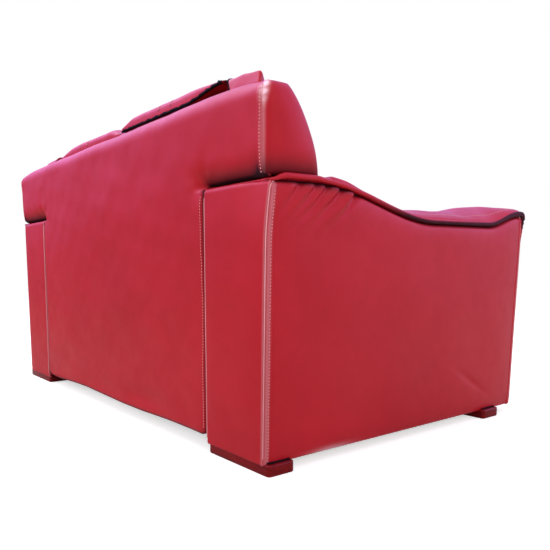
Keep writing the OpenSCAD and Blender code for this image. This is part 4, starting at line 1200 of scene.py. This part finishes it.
def stitchTree():  # a small bead of thread at every step of the path
    tree, given = newTree("stitching", Step="Float", Stitch="Float", Thick="Float", Finish="Material")
    even = geoNode(tree, "GeometryNodeResampleCurve", {"mode": "LENGTH"},
                   {"Curve": given["Geometry"], "Length": given["Step"]})
    bead = geoNode(tree, "GeometryNodeMeshIcoSphere", None, {"Radius": 0.5, "Subdivisions": 1})
    size = geoNode(tree, "ShaderNodeCombineXYZ", None,
                   {"X": given["Stitch"], "Y": given["Thick"], "Z": given["Thick"]})
    shaped = geoNode(tree, "GeometryNodeTransform", None, {"Geometry": bead["Mesh"], "Scale": size["Vector"]})
    way = geoNode(tree, "GeometryNodeInputTangent")
    turn = geoNode(tree, "FunctionNodeAlignRotationToVector", {"axis": "X"}, {"Vector": way["Tangent"]})
    row = geoNode(tree, "GeometryNodeInstanceOnPoints", None,
                  {"Points": even["Curve"], "Instance": shaped["Geometry"], "Rotation": turn["Rotation"]})
    return geoEnd(tree, row["Instances"], given["Finish"])


def alongPaths(name, paths, tree, radii=None, **values):  # runs a tree over paths and keeps a plain mesh
    curve = bpy.data.curves.new(name + ".path", "CURVE")
    curve.dimensions = "3D"
    for n, path in enumerate(paths):
        spline = curve.splines.new("POLY")
        spline.points.add(len(path) - 1)
        for k, p in enumerate(path):
            spline.points[k].co = (p[0], p[1], p[2], 1)
            spline.points[k].radius = radii[n][k] if radii else 1.0
    holder = bpy.data.objects.new(name + ".path", curve)
    scene.collection.objects.link(holder)
    maker = holder.modifiers.new(name, "NODES")
    maker.node_group = tree
    for socket in tree.interface.items_tree:
        if socket.in_out == "INPUT" and socket.name in values:
            maker[socket.identifier] = values[socket.name]
    deps = bpy.context.evaluated_depsgraph_get()
    mesh = bpy.data.meshes.new_from_object(holder.evaluated_get(deps), depsgraph=deps)
    holder.modifiers.remove(maker)
    bpy.data.objects.remove(holder)
    mesh.shade_smooth()
    made = bpy.data.objects.new(name, mesh)
    scene.collection.objects.link(made)
    return made


stitching = {"Step": 0.0072, "Stitch": 0.0044, "Thick": 0.0019}
piping = pipingTree()
stitches = stitchTree()
for side in (1, -1):
    # the lips carry painted shade; the folds and the shoulder seams none
    paths, radii = zip(*[lipPath(side, inside) for inside in (False, True)])
    made = alongPaths("armLips." + sideName[side], paths, piping, radii,
                      Sides=14, Dark=0.95, Finish=redLeather)
    settle(made, "sofa", redLeather, ["arm_welts_" + sideName[side]])
    paths, radii = zip(*[foldPath(side, inside, rear) for inside in (False, True) for rear in (True, False)])
    made = alongPaths("armFolds." + sideName[side], paths, piping, radii,
                      Sides=8, Dark=0.0, Finish=foldLeather)
    settle(made, "sofa", foldLeather)
    finish, slot = (redLeather, "red_leather") if side > 0 else (blackLining, "black_lining")
    radii = [[weltLook["bound"]] * len(endSeams[side])]
    made = alongPaths("shoulderSeam." + sideName[side], [endSeams[side]], piping, radii,
                      Sides=8, Dark=0.0, Finish=finish)
    settle(made, "sofa", finish)
for body, paths in stitchRuns.items():
    made = alongPaths("stitches." + body, paths, stitches, Finish=paleThread, **stitching)
    settle(made, body, paleThread)
print("piping and stitching made")


# the solids that stay in view or inside

kept = ((frameTimber, ("arm_outer_ply", "arm_inner_ply", "arm_top_board", "arm_blocks", "back_posts",
                       "front_rail", "rear_rail", "side_rails", "centre_rail")),
        (blackLining, ("headrest_lining", "headrest_board", "back_top_rail", "foot_liners", "dust_cover")),
        (strapWeb, ("back_webbing", "seat_webbing")), (deckFelt, ("seat_deck_pad",)),
        (hingeSteel, ("headrest_leaves", "hinge_brackets", "hinge_pins", "foot_bolts", "arm_bolts")))
for finish, names in kept:
    for name, node in nodes.items():
        if name.startswith(names):
            node.data.materials.clear()
            node.data.materials.append(finish)


# floor, light and camera

def rayKinds(tree):  # 1 for what the camera sees, and 1 for what the leather's gloss sees
    path = tree.nodes.new("ShaderNodeLightPath").outputs
    seen = Wire(tree, path["Is Camera Ray"]).maths("MAXIMUM", Wire(tree, path["Is Transmission Ray"]))
    return seen, Wire(tree, path["Is Glossy Ray"])


floorLook = {"half": 9.0, "ground": rgb(0.46, 0.44, 0.44), "nearGloss": rgb(0.95, 0.92, 1.00),
             "farGloss": rgb(0.30, 0.29, 0.26), "way": (0.6, 0.8, 0.0), "reach": 3.0}


def makeFloor():
    half, reach = floorLook["half"], floorLook["reach"]
    mesh = bpy.data.meshes.new("floor")
    square = [(-half, -half, 0), (half, -half, 0), (half, half, 0), (-half, half, 0)]
    mesh.from_pydata(square, [], [(0, 1, 2, 3)])
    floor = bpy.data.objects.new("floor", mesh)
    scene.collection.objects.link(floor)
    made, shader, place = startFinish("pale floor")
    seen, gloss = rayKinds(made.node_tree)
    far = place.along(floorLook["way"]).between(-reach, reach)
    ground = gloss.tint(floorLook["ground"], far.tint(floorLook["nearGloss"], floorLook["farGloss"]))
    plug(shader, Base_Color=seen.tint(ground, rgb(0.80, 0.80, 0.80)), Roughness=0.9, Specular_IOR_Level=0.0)
    plug(shader, Emission_Color=seen.tint(rgb(0, 0, 0), rgb(1, 1, 1)), Emission_Strength=0.55)
    mesh.materials.append(made)


skyLook = {"plain": (rgb(0.36, 0.35, 0.36), rgb(0.78, 0.75, 0.82)),
           "zenith": (rgb(3.3, 2.4, 6.2), rgb(4.6, 4.4, 7.2)),
           "dusk": (rgb(0.25, 0.20, 0.32), rgb(0.80, 0.66, 1.6)), "right": rgb(1.1, 1.0, 1.7),
           "front": rgb(1.0, 0.85, 2.0), "facing": rgb(2.8, 2.4, 5.6), "facingLow": rgb(0.95, 0.90, 1.05),
           "way": (-0.62, -0.78, 0.0)}


def makeWorld():  # a plain sky that lights the sofa, a violet one for its gloss and white for the camera
    world = bpy.data.worlds.new("studio")
    scene.world = world
    world.use_nodes = True
    tree = world.node_tree
    seen, gloss = rayKinds(tree)
    way = Wire(tree, tree.nodes.new("ShaderNodeTexCoord").outputs["Generated"])
    height = way.part(2)
    plain = height.between(-0.10, 0.80).tint(*skyLook["plain"])
    left = way.part(0).between(-0.2, 0.5)
    ahead = way.along(skyLook["way"])
    facing = ahead.between(0.78, 0.95)
    zenith = height.between(0.40, 0.75).tint(*skyLook["zenith"])
    bright = left.tint(skyLook["right"], zenith)
    bright = way.part(1).between(-0.45, 0.10).tint(skyLook["front"], bright)
    bright = facing.tint(bright, skyLook["facing"])
    dusk = (left * height.between(0.03, 0.22)).tint(*skyLook["dusk"])
    low = ahead.between(0.55, 0.98).tint(dusk, skyLook["facingLow"])
    sheen = (height - left * 0.20 + facing * 0.10).between(0.08, 0.46).tint(low, bright)
    sky = seen.tint(gloss.tint(plain, sheen), rgb(1, 1, 1))
    plug(tree.nodes["Background"], Color=sky, Strength=1.0)


def aimed(at, way):  # looks that way from there
    return Matrix.Translation(at) @ Vector(way).to_track_quat("-Z", "Y").to_matrix().to_4x4()


def softbox(name, at, towards, size, watts, tint, mirrored=True):
    light = bpy.data.lights.new(name, "AREA")
    light.shape = "RECTANGLE"
    light.size, light.size_y = size
    light.energy = watts
    light.color = tint
    lamp = bpy.data.objects.new(name, light)
    lamp.matrix_world = aimed(at, Vector(towards) - Vector(at))
    lamp.visible_glossy = mirrored
    scene.collection.objects.link(lamp)


photoView = {"at": (-1.8094, 1.3419, 0.4739), "way": (0.8164, -0.5693, -0.0967), "roll": -0.0116,
             "lens": 39.24, "sensor": 36.0, "shift": (0.108, 0.0876), "far": 60}


def makeCamera():
    camera = bpy.data.cameras.new("camera")
    camera.lens = photoView["lens"]
    camera.sensor_width = photoView["sensor"]
    camera.shift_x, camera.shift_y = photoView["shift"]
    camera.clip_end = photoView["far"]
    eye = bpy.data.objects.new("camera", camera)
    eye.matrix_world = aimed(photoView["at"], photoView["way"]) @ Matrix.Rotation(photoView["roll"], 4, "Z")
    scene.collection.objects.link(eye)
    scene.camera = eye


makeFloor()
makeWorld()
softbox("overhead", (-0.2, 0.6, 3.6), (0, 0, 0.5), (3.2, 2.6), 22, (0.96, 0.92, 1.0))
softbox("window", (2.0, 5.0, 2.4), (0, 0.3, 0.5), (3.4, 2.8), 190, (1.0, 0.97, 0.95), False)
softbox("side", (-5.0, 0.8, 2.0), (-0.4, 0, 0.5), (3.0, 2.4), 104, (1.0, 0.97, 0.96), False)
softbox("fill", (2.4, -3.4, 2.2), (0, 0, 0.5), (2.4, 1.8), 60, (1.0, 1.0, 1.0), False)
makeCamera()
scene.view_settings.view_transform = "Standard"
print("stage made")
